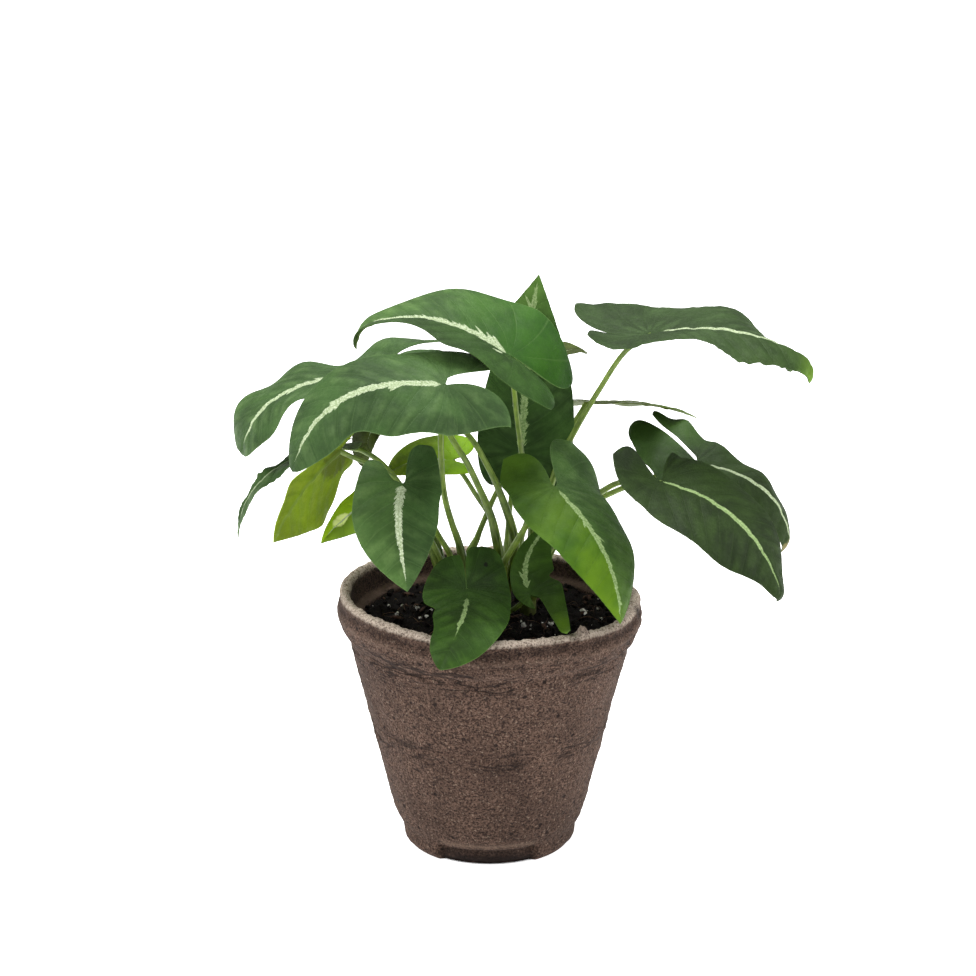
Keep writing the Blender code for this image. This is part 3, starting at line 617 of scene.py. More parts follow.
def blade_sheet(leaf, nibble, seed):
    """The blade's middle surface: points, leaf coordinates and faces, upper face out.

    A point's leaf coordinates are its distance across, its distance along the midrib,
    its distance from the margin and its half.
    """
    midrib = Midrib(leaf)
    length = midrib.length
    spine = [length * k / FRONT_ROWS for k in range(FRONT_ROWS + 1)]
    points = [blade_row(midrib, leaf, np.array((0.0,)), y, 0)[0] for y in spine]
    places = [(0.0, y, min(outer_edge(y, length, leaf, 0), outer_edge(y, length, leaf, 1)), 0.5)
              for y in spine]
    faces = []
    for half in (0, 1):
        lobe = leaf["lobe"][half]
        rows = []
        for j in range(LOBE_ROWS + FRONT_ROWS + 1):
            k = j - LOBE_ROWS
            y = spine[k] if k >= 0 else -lobe * math.cos(math.pi / 2 * j / LOBE_ROWS)
            low = inner_edge(y, leaf, half)
            high = outer_edge(y, length, leaf, half)
            high = max(low, high - nibbled(y, half, nibble, seed) * min(1.0, high / FULL_BITE_WIDTH))
            if k == FRONT_ROWS:
                rows.append([FRONT_ROWS])
                continue
            shares = (np.arange(HALF_COLUMNS + 1) / HALF_COLUMNS) ** COLUMN_CROWDING
            if j == 0:
                shares = shares[-1:]
            elif k >= 0:
                shares = shares[1:]
            across = low + (high - low) * shares
            row = [k] if k >= 0 else []
            row += range(len(points), len(points) + len(across))
            points += list(blade_row(midrib, leaf, across, y, half))
            near_edge = high - across
            if k < 0:
                near_edge = np.minimum(near_edge, across - low)
            places += [(a, y, e, half) for a, e in zip(across, near_edge)]
            rows.append(row)
        for near, far in zip(rows[:-1], rows[1:]):
            for c in range(HALF_COLUMNS):
                corners = [near[min(c, len(near) - 1)], near[min(c + 1, len(near) - 1)],
                           far[min(c + 1, len(far) - 1)], far[min(c, len(far) - 1)]]
                if half == 0:
                    corners.reverse()
                ring = tuple(dict.fromkeys(corners))
                if len(ring) >= 3:
                    faces.append(ring)
    return midrib, np.array(points), np.array(places), faces


VEIN_SPACING = 7.5
VEIN_LEAN = 0.6
VEIN_BEND = 0.015
LOBE_VEIN_ANGLE = 27.0


def vein_phase(places):
    """A number that is whole on each side vein: they lean to the tip, and fan out in the lobes."""
    across = places[:, 0]
    along = places[:, 1]
    first = VEIN_LEAN * across + VEIN_BEND * across ** 2
    forward = (along - first) / VEIN_SPACING
    angle = np.degrees(np.arctan2(across, along))
    first_angle = np.degrees(np.arctan2(across, first + 1e-6))
    fan = (first_angle - angle) / LOBE_VEIN_ANGLE
    return np.where(forward >= 0, forward, np.maximum(fan, -20.0))


def sheet_normals(points, faces):
    """Unit normals of the sheet's points; a point between faces without area has none."""
    normals = np.zeros_like(points)
    for face in faces:
        a, b, c = face[0], face[1], face[2]
        n = np.cross(points[b] - points[a], points[c] - points[a])
        for i in face:
            normals[i] += n
    lengths = np.linalg.norm(normals, axis=1)[:, None]
    return normals / np.where(lengths > 0, lengths, 1.0)


# Relief of a blade, in mm; a blade narrower than FULL_RELIEF has less of it
FULL_RELIEF = 16.0
VEIN_RELIEF = 0.34
PUCKER = 0.35
SMALL_PUCKER = 0.12
GROOVE_DEPTH = 0.28
GROOVE_HALF = 0.8
EDGE_HALF = 0.15
INNER_HALF = 0.12
RIB_HEIGHT = 0.75


def blade_relief(points, places, phase, wide, seed):
    """How far the veins, the puckers and the midrib's groove lie above the middle surface."""
    across, along, margin, _ = places.T
    between = np.abs((phase % 1.0) - 0.5) * 2
    fade = smoothstep(np.hypot(across, along), 1.5, 9.0) * smoothstep(margin, -0.5, 4.0)
    fade = fade * min(1.0, wide / FULL_RELIEF)
    relief = VEIN_RELIEF * fade * (0.55 - between ** 3)
    relief += PUCKER * fade * rough(points, 7.0, seed)
    relief += SMALL_PUCKER * fade * rough(points, 2.6, seed + 9)
    return relief - GROOVE_DEPTH * hill(across, 0.0, GROOVE_HALF) * smoothstep(along, -1.0, 3.0)


def shell_faces(faces, count):
    """Faces of a closed shell: the sheet's own, the same ones count points on, and the edge."""
    edges = {(f[i], f[(i + 1) % len(f)]) for f in faces for i in range(len(f))}
    lower = [tuple(i + count for i in reversed(f)) for f in faces]
    rim = [(b, a, a + count, b + count) for a, b in sorted(edges) if (b, a) not in edges]
    return faces + lower + rim


def painted(paint, leaf, places, phase, length):
    """What the leaf's material reads at each point of the upper and the lower face."""
    across, along, margin, half = places.T
    right = half > 0.5
    share = along / length
    start, end = paint["span"]
    near, middle, far = paint["band"]
    band = np.interp(share, (start, start + 0.04, 0.5, end - 0.1, end), (0, near, middle, far, 0))
    band = np.where((share <= start) | (share >= end), -1.0, band)
    lobe_share = along / np.where(right, leaf["lobe"][1], leaf["lobe"][0])
    station = np.where(along < 0, lobe_share, share)
    limes = [np.interp(station, STATIONS, row) for row in paint.get("lime", NO_LIME)]
    lime = limes[0] * (1 - half) + limes[1] * half
    sided = np.where(right, across, -across)
    spot_along, spot_side, spot_long, spot_wide, _ = paint.get("spot_and_shadow", NO_SPOT)
    off = np.hypot((along - spot_along * length) / spot_long, (sided - spot_side) / spot_wide)
    both = np.tile(np.stack((sided, along, margin, band, lime, phase, 1 - off)), 2)
    under = np.repeat((0.0, 1.0), len(places))
    return {
        "leaf_place": both[:3].T,
        "leaf_paint": np.stack((both[3], both[4], under), axis=1),
        "leaf_vein": both[5],
        "leaf_spot_and_shadow": both[6],
    }


def build_blade(name, leaf, seed):
    """A leaf blade with sunken veins, a midrib that stands out below, and a thin margin."""
    paint = PAINT[name]
    midrib, points, places, faces = blade_sheet(leaf, paint.get("nibble", PLAIN_NIBBLE), seed)
    normals = sheet_normals(points, faces)
    across, along, margin, _ = places.T
    phase = vein_phase(places)
    relief = blade_relief(points, places, phase, max(leaf["width"]), seed)
    half_thick = EDGE_HALF + INNER_HALF * smoothstep(margin, 0.0, 2.5)
    taper = np.clip(1 - along / midrib.length, 0, 1)
    rib = RIB_HEIGHT * taper ** 0.8 * hill(across, 0.0, 0.5 + 0.6 * taper) * smoothstep(along, -2.5, 1.0)
    top = points + normals * (relief + half_thick)[:, None]
    bottom = points + normals * (relief - half_thick - rib)[:, None]
    add_piece("blade_" + name, np.vstack((top, bottom)), shell_faces(faces, len(points)),
              leaf_material(name, seed), 50, ("leaf_" + name,),
              painted(paint, leaf, places, phase, midrib.length))


LOWER_RIB = (112, 134, 66)
SEED_SHIFT = 0.013
BARB_LEAN = 1.5
BARB_REACH = 1.7
BAND_RAGGED = 0.75
BAND_FILL = 0.95


def leaf_material(name, seed):
    """Velvety leaf: mottled green, painted sheen on the panels, thin veins and a ragged mint band."""
    paint = PAINT[name]
    g = Graph("leaf " + name)
    sided, along, margin = g.split(g.attribute("leaf_place"))
    band, lime, under = g.split(g.attribute("leaf_paint"))
    phase = g.attribute("leaf_vein", "Fac")
    across = g.calc("ABSOLUTE", sided)
    place = g.mapped(g.place(), move=(SEED_SHIFT * seed, 0.0, 0.0))
    broad = g.noise(place, 62.0, 3.0, 0.55)
    fine = g.noise(place, 900.0, 3.0, 0.6)

    # Mottled green, with painted sheen in the panels between the side veins, and paler streaks beside them
    right = g.step(sided, -0.3, 0.3)
    tones = zip(*(TONES[tone] for tone in paint["tones"]))
    dark, middle, pale = (g.between(right, a, b) for a, b in tones)
    panel = g.calc("PINGPONG", phase, 0.5)
    colour = g.mix(g.step(broad, 0.32, 0.66), dark, middle)
    patch = g.step(g.noise(place, 120.0, 2.0, 0.6), 0.40, 0.68)
    light = g.times(g.step(panel, 0.02, 0.42), patch)
    colour = g.mix(g.times(light, 0.5), colour, pale)
    along_vein = g.join(g.times(phase, 2.6), g.times(across, 0.06), 1.9 * seed)
    colour = g.mix(g.step(g.noise(along_vein, 1.7, 3.0, 0.6), 0.45, 0.8, 0.0, 0.3), colour, pale)
    colour = g.mix(g.step(fine, 0.35, 0.75, 0.0, 0.3), colour, dark)

    # New growth colours, painted light on some lobes, a patch that is a painted shadow on left_lime, the
    # thin veins and the pale rim
    young_and_lit = g.between(g.step(broad, 0.3, 0.7), *paint.get("young_and_lit", YOUNG))
    colour = g.mix(g.times(lime, g.step(broad, 0.15, 0.6, 0.7, 1.0)), colour, young_and_lit)
    if "spot_and_shadow" in paint:
        uneven = g.noise(place, 500.0, 3.0, 0.6)
        spot_and_shadow = g.calc("MULTIPLY_ADD", uneven, 0.9, g.attribute("leaf_spot_and_shadow", "Fac"))
        colour = g.tint(colour, g.step(spot_and_shadow, 0.35, 0.75), paint["spot_and_shadow"][-1])
    thin_vein = g.step(panel, 0.0, 0.045, 1.0, 0.0)
    colour = g.mix(g.times(thin_vein, 0.3), colour, g.mix(0.6, colour, pale))
    colour = g.mix(g.step(margin, 0.0, 0.4, 0.5, 0.0), colour, pale)

    # The mint band, whose barbs lean towards the tip, as the side veins do
    lean = g.calc("MULTIPLY_ADD", across, -BARB_LEAN, along)
    hand = g.calc("MULTIPLY_ADD", g.calc("SIGN", sided), 7.0, 3.7 * seed)
    barb_place = g.join(lean, g.times(across, 0.05), hand)
    small = g.step(g.noise(barb_place, 0.9, 3.0, 0.7), 0.3, 0.8, -0.3, 0.55)
    longest = BARB_REACH * paint.get("barbs", 1.0)
    large = g.step(g.noise(barb_place, 0.23, 1.0, 0.4), 0.57, 0.74, 0.0, longest)
    reach = g.calc("MULTIPLY_ADD", g.calc("ADD", small, large), BAND_RAGGED * paint["ragged"], BAND_FILL)
    inside = g.calc("SUBTRACT", g.times(band, reach), across)
    grain = g.calc("MULTIPLY_ADD", g.noise(place, 2600.0, 2.0, 0.7), 0.5, -0.25)
    inside = g.calc("ADD", inside, grain)
    mask = g.times(g.step(inside, -0.05, 0.2), g.calc("SUBTRACT", 1.0, under))
    flecks = g.step(g.noise(place, 1700.0, 3.0, 0.7), 0.34, 0.66)
    dull, bright = (srgb(c) for c in paint.get("mint", MINT))
    mint = g.mix(flecks, dull, bright)
    mint = g.mix(g.step(across, 0.05, 0.28, 0.4, 0.0), mint, dull)
    colour = g.mix(mask, colour, mint)

    # The lower face is duller and paler, with a light midrib
    below = g.tint(g.mix(0.3, colour, pale), g.step(across, 0.5, 1.1, 0.5, 0.08), LOWER_RIB)
    colour = g.mix(under, colour, below)

    skin = g.cells(place, 700.0, "DISTANCE_TO_EDGE")
    relief = g.bump(g.step(skin, 0.0, 0.12), 0.035)
    relief = g.bump(fine, 0.09, relief)
    relief = g.bump(thin_vein, -0.06, relief)
    g.set(Base_Color=colour, Roughness=g.step(fine, 0.3, 0.7, 0.5, 0.64), Normal=relief,
          Specular_IOR_Level=0.12)
    return g.material


def smooth_path(route, per_span):
    """Points on a smooth curve through the route's points."""
    knots = [np.array(p, float) for p in route]
    knots = [2 * knots[0] - knots[1]] + knots + [2 * knots[-1] - knots[-2]]
    path = []
    for p0, p1, p2, p3 in zip(knots[:-3], knots[1:-2], knots[2:-1], knots[3:]):
        for j in range(per_span):
            u = j / per_span
            path.append(0.5 * (2 * p1 + (p2 - p0) * u + (2 * p0 - 5 * p1 + 4 * p2 - p3) * u * u
                               + (3 * p1 - p0 - 3 * p2 + p3) * u ** 3))
    path.append(knots[-2])
    return np.array(path)


def carried_frames(path):
    """Tangent, across and up at each point, turning as little as they can."""
    tangents = np.gradient(path, axis=0)
    across = unit(np.cross(tangents[0], (0.3, 1.0, 0.1)))
    frames = []
    for t in tangents:
        t = unit(t)
        across = unit(across - t * np.dot(across, t))
        frames.append((t, across, np.cross(t, across)))
    return frames


class Bundle:
    """Gathers tubes and sheaths in one mesh, with coordinates along and around each."""

    def __init__(self):
        self.points = []
        self.faces = []
        self.places = []

    def sweep(self, path, sections, age):
        """Carry closed sections of (across, up) points along a path, and close both ends."""
        start = len(self.points)
        sides = len(sections[0])
        run = np.concatenate(([0], np.cumsum(np.linalg.norm(np.diff(path, axis=0), axis=1))))
        for centre, (_, across, up), section, d in zip(path, carried_frames(path), sections, run):
            for k, (a, b) in enumerate(section):
                self.points.append(centre + across * a + up * b)
                self.places.append((k / sides, d, age * (1 - d / run[-1])))
        self.faces += tube_faces(start, len(path), sides)


def round_section(radius, sides, groove=0.0):
    """A round section, pressed in on its upper side by the groove."""
    section = []
    for k in range(sides):
        a = 2 * math.pi * k / sides
        r = radius - groove * hill(math.degrees(a), 90, 28)
        section.append((r * math.cos(a), r * math.sin(a)))
    return section


def sheath_section(radius, wall, opening):
    """A crescent round a stalk of that radius, open on its upper side."""
    steps = 7
    start = math.radians(90 + opening)
    end = math.radians(450 - opening)
    angles = [start + (end - start) * k / steps for k in range(steps + 1)]
    outer = [((radius + wall) * math.cos(a), (radius + wall) * math.sin(a)) for a in angles]
    inner = [(radius * 0.6 * math.cos(a), radius * 0.6 * math.sin(a)) for a in reversed(angles)]
    return outer + inner


# Heights and shares of the radius up a stem
STEM_RINGS = (
    (STEM_BOTTOM, 1.0), (SOIL_LEVEL, 1.0), (SOIL_LEVEL + 3, 1.02), (SOIL_LEVEL + 5, 0.95),
    (SOIL_LEVEL + 7, 0.9), (SOIL_LEVEL + 9, 0.8), (STEM_TOP, 0.35))
STEM_SIDES = 20
STALK_KNEE = 0.16
STALK_GROOVE = 0.22
SHEATH_SHARE = 0.42
SHEATH_WALL = 0.55
SHEATH_EDGE = 0.06
SHORT_STALK = 40.0


def build_shoot(name, shoot, finish):
    """A short stem with its leaf stalks; a long one stands in a sheath near its root."""
    x, y = shoot["at"]
    bundle = Bundle()
    stem = np.array([(x, y, z) for z, _ in STEM_RINGS])
    bundle.sweep(stem, [round_section(STEM_RADIUS * w, STEM_SIDES) for _, w in STEM_RINGS], 1.0)
    for leaf_name, (root_radius, *route) in shoot["stalks"].items():
        base, tangent, _, normal = Midrib(LEAVES[leaf_name]).at(0.0)
        root = (x, y, SOIL_LEVEL + 2)
        end = base - normal * BLADE_HALF + tangent * 0.4
        path = smooth_path([root] + route + [end], STALK_STEPS)
        shares = np.linspace(0, 1, len(path))
        radii = root_radius + (PETIOLE_END - root_radius) * shares
        radii = radii + STALK_KNEE * hill(shares, 0.97, 0.05)
        groove = STALK_GROOVE * smoothstep(shares, 0.3, 0.6)
        bundle.sweep(path, [round_section(r, STALK_SIDES, q) for r, q in zip(radii, groove)], 0.8)
        length = np.linalg.norm(np.diff(path, axis=0), axis=1).sum()
        if length < SHORT_STALK:
            continue
        upto = int(SHEATH_SHARE * len(path))
        sections = []
        for k in range(upto):
            share = k / (upto - 1)
            wall = SHEATH_WALL * (1 - share ** 3) + SHEATH_EDGE
            sections.append(sheath_section(radii[k], wall, 25 + 130 * share ** 2.5))
        bundle.sweep(path[:upto], sections, 1.0)
    add_piece("stalks_" + name, bundle.points, bundle.faces, finish, 50,
              ("shoot_" + name,), {"stalk_place": bundle.places})


STALK_COLOURS = ((72, 96, 20), (106, 130, 40))
STALK_STREAK = (140, 160, 80)
SHEATH_BROWN = (84, 80, 26)
STALK_FOOT_SHADE = (48, 40, 16)


def stalk_material():
    """Olive stalk with fine streaks along it, browner towards the roots, painted shade just above the soil.
    """
    g = Graph("leaf stalk")
    around, along, age = g.split(g.attribute("stalk_place"))
    streak_place = g.join(g.times(around, 9.0), g.times(along, 0.06), 0.0)
    streaks = g.noise(streak_place, 1.6, 3.0, 0.6)
    place = g.place()
    mottle = g.noise(place, 220.0, 3.0, 0.6)
    colour = g.between(g.step(mottle, 0.35, 0.65), *STALK_COLOURS)
    colour = g.tint(colour, g.step(streaks, 0.4, 0.7, 0.0, 0.55), STALK_STREAK)
    colour = g.tint(colour, g.step(age, 0.5, 0.8, 0.0, 0.3), SHEATH_BROWN)
    # Painted shade on the stems and stalks just above the soil
    colour = g.tint(colour, g.step(g.split(place)[2], 0.086, 0.093, 0.75, 0.0), STALK_FOOT_SHADE)
    g.set(Base_Color=colour, Roughness=g.step(mottle, 0.3, 0.7, 0.38, 0.52),
          Normal=g.bump(streaks, 0.08))
    return g.material


# The pot's outside from the bottom's edge to the lip, then its inside down to the floor
FOOT_RECESS_TOP = 6.2
POT_OUTSIDE = (
    (28.6, 0.0), (30.6, 0.8), (31.4, 2.4), (31.7, FOOT_RECESS_TOP), (32.3, 7.6), (33.9, 10.4),
    (35.0, 13.6), (38.9, 29.0), (42.7, 44.8), (46.4, 60.3), (50.3, 75.4), (50.9, 78.6),
    (53.2, 81.0), (54.5, 84.5), (RIM_RADIUS, 88.5), (54.4, 92.4), (53.2, POT_HEIGHT))
POT_INSIDE = (
    (51.2, POT_HEIGHT), (50.3, 92.6), (49.8, 87.4), (49.2, 85.4), (46.9, 84.4), (46.5, 80.0),
    (45.9, 75.0), (28.2, 4.0))
RIM_FROM = 60.0
RECESS_DEPTH = 2.4
RECESS_MIDDLE = -91.5
RECESS_HALF = 34.5

# Steps of the profile in mm: fine at the foot and the rim, long where soil hides the inside
FINE_STEP = 0.65
PLAIN_STEP = 1.1
HIDDEN_STEP = 6.0
FOOT_FINE_TO = 11
RIM_FINE_FROM = 74
HIDDEN_FROM = len(POT_OUTSIDE) + 5


def sampled_profile():
    """The pot's profile in short steps with its corners eased, and which of them are outside."""
    corners = [np.array(p) for p in POT_OUTSIDE + POT_INSIDE]
    steps = [corners[0]]
    outside = [True]
    for i, (a, b) in enumerate(zip(corners[:-1], corners[1:])):
        spacing = PLAIN_STEP
        if min(a[1], b[1]) > RIM_FINE_FROM or max(a[1], b[1]) < FOOT_FINE_TO:
            spacing = FINE_STEP
        if i >= HIDDEN_FROM:
            spacing = HIDDEN_STEP
        count = max(1, math.ceil(np.linalg.norm(b - a) / spacing))
        for k in range(1, count + 1):
            steps.append(a + (b - a) * k / count)
            outside.append(i < len(POT_OUTSIDE) - 1)
    profile = np.array(steps)
    for _ in range(2):
        profile[1:-1] = (profile[:-2] + 2 * profile[1:-1] + profile[2:]) / 4
    return profile, np.array(outside)


# Heights of the pot's marks in mm, and their places round it in degrees
CREASE_HEIGHT = 90.0
RIDGE_HEIGHT = 86.4
UPPER_WRINKLES = 77.0
LOWER_WRINKLES = 45.0
LEDGE_EDGE = 8.6
BURR_HEIGHT = 2.8
BURR_ANGLE = -51.6
TORN_HEIGHT = 92.5
TORN_ANGLE = -12.0


def build_pot(finish):
    """The pot, with pressed fibre lumps, wrinkles, a crease under the lip and a ragged lip."""
    profile, outside = sampled_profile()
    rows = len(profile)
    run = np.gradient(profile, axis=0)
    run /= np.linalg.norm(run, axis=1)[:, None]
    angles = np.linspace(0, 2 * math.pi, POT_SEGMENTS, endpoint=False)
    r = np.repeat(profile[:, 0], POT_SEGMENTS)
    z = np.repeat(profile[:, 1], POT_SEGMENTS)
    out_r = np.repeat(run[:, 1], POT_SEGMENTS)
    out_z = np.repeat(-run[:, 0], POT_SEGMENTS)
    is_out = np.repeat(outside, POT_SEGMENTS)
    angle = np.tile(angles, rows)
    x = r * np.cos(angle)
    y = r * np.sin(angle)
    plain = np.stack((x, y, z), axis=1)
    ring = np.stack((x, y, np.zeros_like(x)), axis=1)
    degrees = (np.degrees(angle) + 180) % 360 - 180

    # The form: a rim that isn't quite round or level, and the recess in the foot
    low = np.where(is_out, RIM_FROM, SOIL_LEVEL + 1.0)
    weight = np.clip((z - low) / (POT_HEIGHT - low), 0, 1)
    scale = 1.0 + 0.006 * weight * (np.sin(3 * angle + 0.7) + 0.6 * np.sin(7 * angle))
    lift = weight * (-RIM_SLANT * x / RIM_RADIUS + 0.45 * np.sin(5 * angle + 1.1))
    off_middle = np.abs(degrees - RECESS_MIDDLE)
    recess = is_out * smoothstep(off_middle, RECESS_HALF + 1.5, RECESS_HALF - 2.5)
    recess *= smoothstep(z, FOOT_RECESS_TOP + 1.2, FOOT_RECESS_TOP - 0.6) * smoothstep(z, 0.0, 0.6)
    scale = scale - recess * RECESS_DEPTH / np.hypot(x, y)

    # The surface: lumps, sideways wrinkles, and a crease and a ridge under the lip
    dent = 0.30 * rough(plain, 6.5, 1) + 0.20 * rough(plain, 2.3, 2) + 0.10 * rough(plain, 1.1, 3)
    streaky = plain * np.array((0.09, 0.09, 0.62))
    wrinkle = np.maximum(0.0, rough(streaky, 1.0, 4)) ** 1.2
    banded = hill(z, UPPER_WRINKLES, 5.5) + 0.9 * hill(z, LOWER_WRINKLES, 5.0) + 0.25
    dent += 0.75 * wrinkle * banded * is_out
    uneven = rough(ring, 9.0, 5)
    crease = hill(z, CREASE_HEIGHT + 0.9 * uneven, 1.5) * (0.75 + 0.6 * rough(ring, 5.0, 6))
    ridge = hill(z, RIDGE_HEIGHT + 0.8 * uneven, 0.9) * (0.7 + 0.5 * rough(ring, 6.0, 7))
    dent += is_out * (0.45 * ridge - 0.85 * crease)
    flat = z < 0.5
    dent = np.where(flat, 0.0, dent)

    # The lip: ragged, with one burr
    lip = smoothstep(z, POT_HEIGHT - 1.6, POT_HEIGHT - 0.3)
    ragged = lip * (0.5 * rough(ring, 3.4, 8) + 0.5 * rough(ring, 1.4, 9))
    burr = lip * BURR_HEIGHT * hill(degrees, BURR_ANGLE, 1.7)
    points = np.stack((x * scale + np.cos(angle) * out_r * dent,
                       y * scale + np.sin(angle) * out_r * dent,
                       z + lift + out_z * dent + ragged + burr), axis=1)
    points[:, 2] = np.maximum(points[:, 2], 0.0)
    points[flat & is_out, 2] = 0.0

    # What the material reads: the worn lip, painted highlights on ledges and painted shade in hollows
    worn = smoothstep(z + 0.6 * rough(plain, 1.6, 12), POT_HEIGHT - 2.3, POT_HEIGHT - 0.9)
    worn = worn * (1 - 0.6 * np.clip(burr, 0, 1))
    # Painted highlight on the shelf inside, the ridge under the lip and the recess's top edge
    inner_ledge = (~is_out) * smoothstep(z, 83.5, 84.4) * smoothstep(z, 86.5, 85.6)
    foot_ledge = is_out * smoothstep(off_middle, RECESS_HALF, RECESS_HALF - 6) * hill(z, LEDGE_EDGE, 1.0)
    ledge_highlight = np.clip(0.6 * inner_ledge + 0.35 * ridge * is_out + 0.5 * foot_ledge, 0, 1)
    torn = is_out * hill(degrees, TORN_ANGLE, 3.0) * hill(z, TORN_HEIGHT, 1.6)
    # Painted shade in the crease under the lip, inside below the rim, at the torn place by the lip and,
    # darker towards the bottom, in the foot's recess
    shade = is_out * np.clip(0.8 * crease, 0, 1) + (~is_out) * 0.45 * smoothstep(z, 93.2, 90.5)
    recess_shade = recess * (0.6 + 0.8 * smoothstep(z, 6.0, 0.0))
    shade = np.clip(np.maximum(shade + 1.1 * torn, recess_shade), 0, 1.3)
    wear_highlight_shade = {"pot_wear_highlight_shade": np.stack((worn, ledge_highlight, shade), axis=1)}
    add_piece("fibre_pot", points, tube_faces(0, rows, POT_SEGMENTS), finish, 60,
              ("pot",), wear_highlight_shade)


# Colours of the moulded fibre, in sRGB from 0 to 255
FIBRE = ((37, 25, 20), (103, 81, 69))
LIP = ((102, 88, 77), (184, 170, 155))
LUMP_SHADE = (50, 37, 30)
CLOUD_SHADE = (44, 31, 25)
DARK_FLECK = (26, 17, 13)
PALE_FLECK = (146, 126, 110)
WRINKLE_SHADE = (28, 18, 14)
PINHOLE_SHADE = (24, 14, 10)
LEDGE_HIGHLIGHT = (112, 93, 80)
HOLLOW_SHADE = (30, 20, 16)


def belt(g, height, middle, inner, outer, strength):
    """A strength that falls off above and below a middle height, all in metres."""
    off = g.calc("ABSOLUTE", g.calc("SUBTRACT", height, middle))
    return g.step(off, inner, outer, strength, 0.0)


def pot_material():
    """Taupe moulded fibre: dark and pale flecks, pinholes, a worn pale lip."""
    g = Graph("moulded fibre")
    place = g.place()
    # worn is the worn lip; pale is the painted highlight and shade the painted shade
    worn, pale, shade = g.split(g.attribute("pot_wear_highlight_shade"))
    grain = g.noise(place, 1350.0, 3.0, 0.75)
    lump = g.noise(place, 260.0, 3.0, 0.6)
    cloud = g.noise(place, 38.0, 3.0, 0.6)
    colour = g.between(g.step(grain, 0.38, 0.62), *FIBRE)
    colour = g.tint(colour, g.step(lump, 0.35, 0.7, 0.0, 0.3), LUMP_SHADE)
    colour = g.tint(colour, g.step(cloud, 0.4, 0.7, 0.0, 0.45), CLOUD_SHADE)
    fibre = g.noise(g.mapped(place, scale=(1.0, 1.0, 2.6)), 640.0, 2.0, 0.8)
    colour = g.tint(colour, g.step(fibre, 0.58, 0.68, 0.0, 0.8), DARK_FLECK)
    pale_fleck = g.noise(place, 1100.0, 2.0, 0.5)
    colour = g.tint(colour, g.step(pale_fleck, 0.60, 0.72, 0.0, 0.45), PALE_FLECK)

    # Painted shade in thin wrinkles in two belts, and in pinholes
    crack = g.noise(g.mapped(place, scale=(1.0, 1.0, 6.5)), 62.0, 2.0, 0.45)
    line = g.step(g.calc("ABSOLUTE", g.calc("SUBTRACT", crack, 0.5)), 0.012, 0.05, 1.0, 0.0)
    height = g.split(place)[2]
    upper = belt(g, height, 0.0785, 0.003, 0.0085, 1.0)
    lower = belt(g, height, 0.0455, 0.002, 0.006, 0.9)
    here = g.step(g.noise(place, 45.0, 1.0, 0.4), 0.36, 0.50)
    wrinkle = g.times(g.times(line, here), g.calc("MAXIMUM", upper, lower))
    colour = g.tint(colour, g.times(wrinkle, 0.8), WRINKLE_SHADE)
    pinhole = g.step(g.cells(place, 170.0), 0.09, 0.155, 1.0, 0.0)
    colour = g.tint(colour, g.times(pinhole, 0.85), PINHOLE_SHADE)

    lip = g.between(g.step(grain, 0.34, 0.56), *LIP)
    colour = g.mix(g.times(worn, 0.96), colour, lip)
    # Painted highlight on the shelves and on the ridge under the lip
    colour = g.tint(colour, pale, LEDGE_HIGHLIGHT)
    # Painted shade in the crease, the rim's inside, the torn place and the recess, laid on in blotches
    blotch = g.noise(g.mapped(place, scale=(1.0, 1.0, 3.0)), 110.0, 3.0, 0.7)
    colour = g.tint(colour, g.times(shade, g.step(blotch, 0.3, 0.55, 0.5, 0.95)), HOLLOW_SHADE)

    relief = g.bump(wrinkle, -0.5)
    relief = g.bump(grain, 0.5, relief)
    relief = g.bump(lump, 0.6, relief)
    relief = g.bump(g.calc("MAXIMUM", pinhole, g.step(fibre, 0.58, 0.70)), -0.45, relief)
    g.set(Base_Color=colour, Roughness=0.95, Normal=relief, Specular_IOR_Level=0.2)
    return g.material


SOIL_SIDE = ((27.4, 4.3), (45.5, 75.0), (46.1, 80.0), (46.4, SOIL_LEVEL - 0.8))
SOIL_EDGE = 46.4
SOIL_TURNS = 220
SOIL_STEPS = 70


def soil_height(x, y):
    """Height of the heaped soil, as in the model."""
    uneven = 0.7 * math.sin(0.21 * x + 0.6) * math.cos(0.17 * y) + 0.4 * math.sin(0.45 * y + 0.3 * x)
    return SOIL_LEVEL + uneven + 0.9 * (1 - math.hypot(x, y) / SOIL_EDGE)


def crumbly_height(x, y):
    """Height of the soil's crumbs, a little below the heaped soil between them."""
    here = Vector((x, y, 0.0))
    crumbs = 1.5 * noise.noise(here / 5.5) + 0.9 * noise.noise(here / 2.2) + 0.5 * noise.noise(here)
    return soil_height(x, y) - 0.3 + crumbs


def build_soil(finish):
    """The soil, with a crumbly top."""
    rings = list(SOIL_SIDE)
    rings += [(SOIL_EDGE * (1 - k / (SOIL_STEPS + 1)), None) for k in range(1, SOIL_STEPS + 1)]
    points = []
    for radius, z in rings:
        for k in range(SOIL_TURNS):
            a = 2 * math.pi * k / SOIL_TURNS
            x = radius * math.cos(a)
            y = radius * math.sin(a)
            points.append((x, y, crumbly_height(x, y) if z is None else z))
    add_piece("potting_soil", points, tube_faces(0, len(rings), SOIL_TURNS), finish, 180,
              ("soil",))


SOIL_COLOURS = ((5, 4, 3), (24, 17, 13))
PEAT_BROWN = (36, 26, 21)


def soil_material():
    """Dark potting mix with browner patches."""
    g = Graph("potting mix")
    place = g.place()
    grain = g.noise(place, 1300.0, 4.0, 0.75)
    patch = g.noise(place, 180.0, 3.0, 0.6)
    colour = g.between(g.step(grain, 0.4, 0.7), *SOIL_COLOURS)
    colour = g.tint(colour, g.step(patch, 0.5, 0.75, 0.0, 0.5), PEAT_BROWN)
    g.set(Base_Color=colour, Roughness=0.9, Normal=g.bump(grain, 0.8), Specular_IOR_Level=0.12)
    return g.material


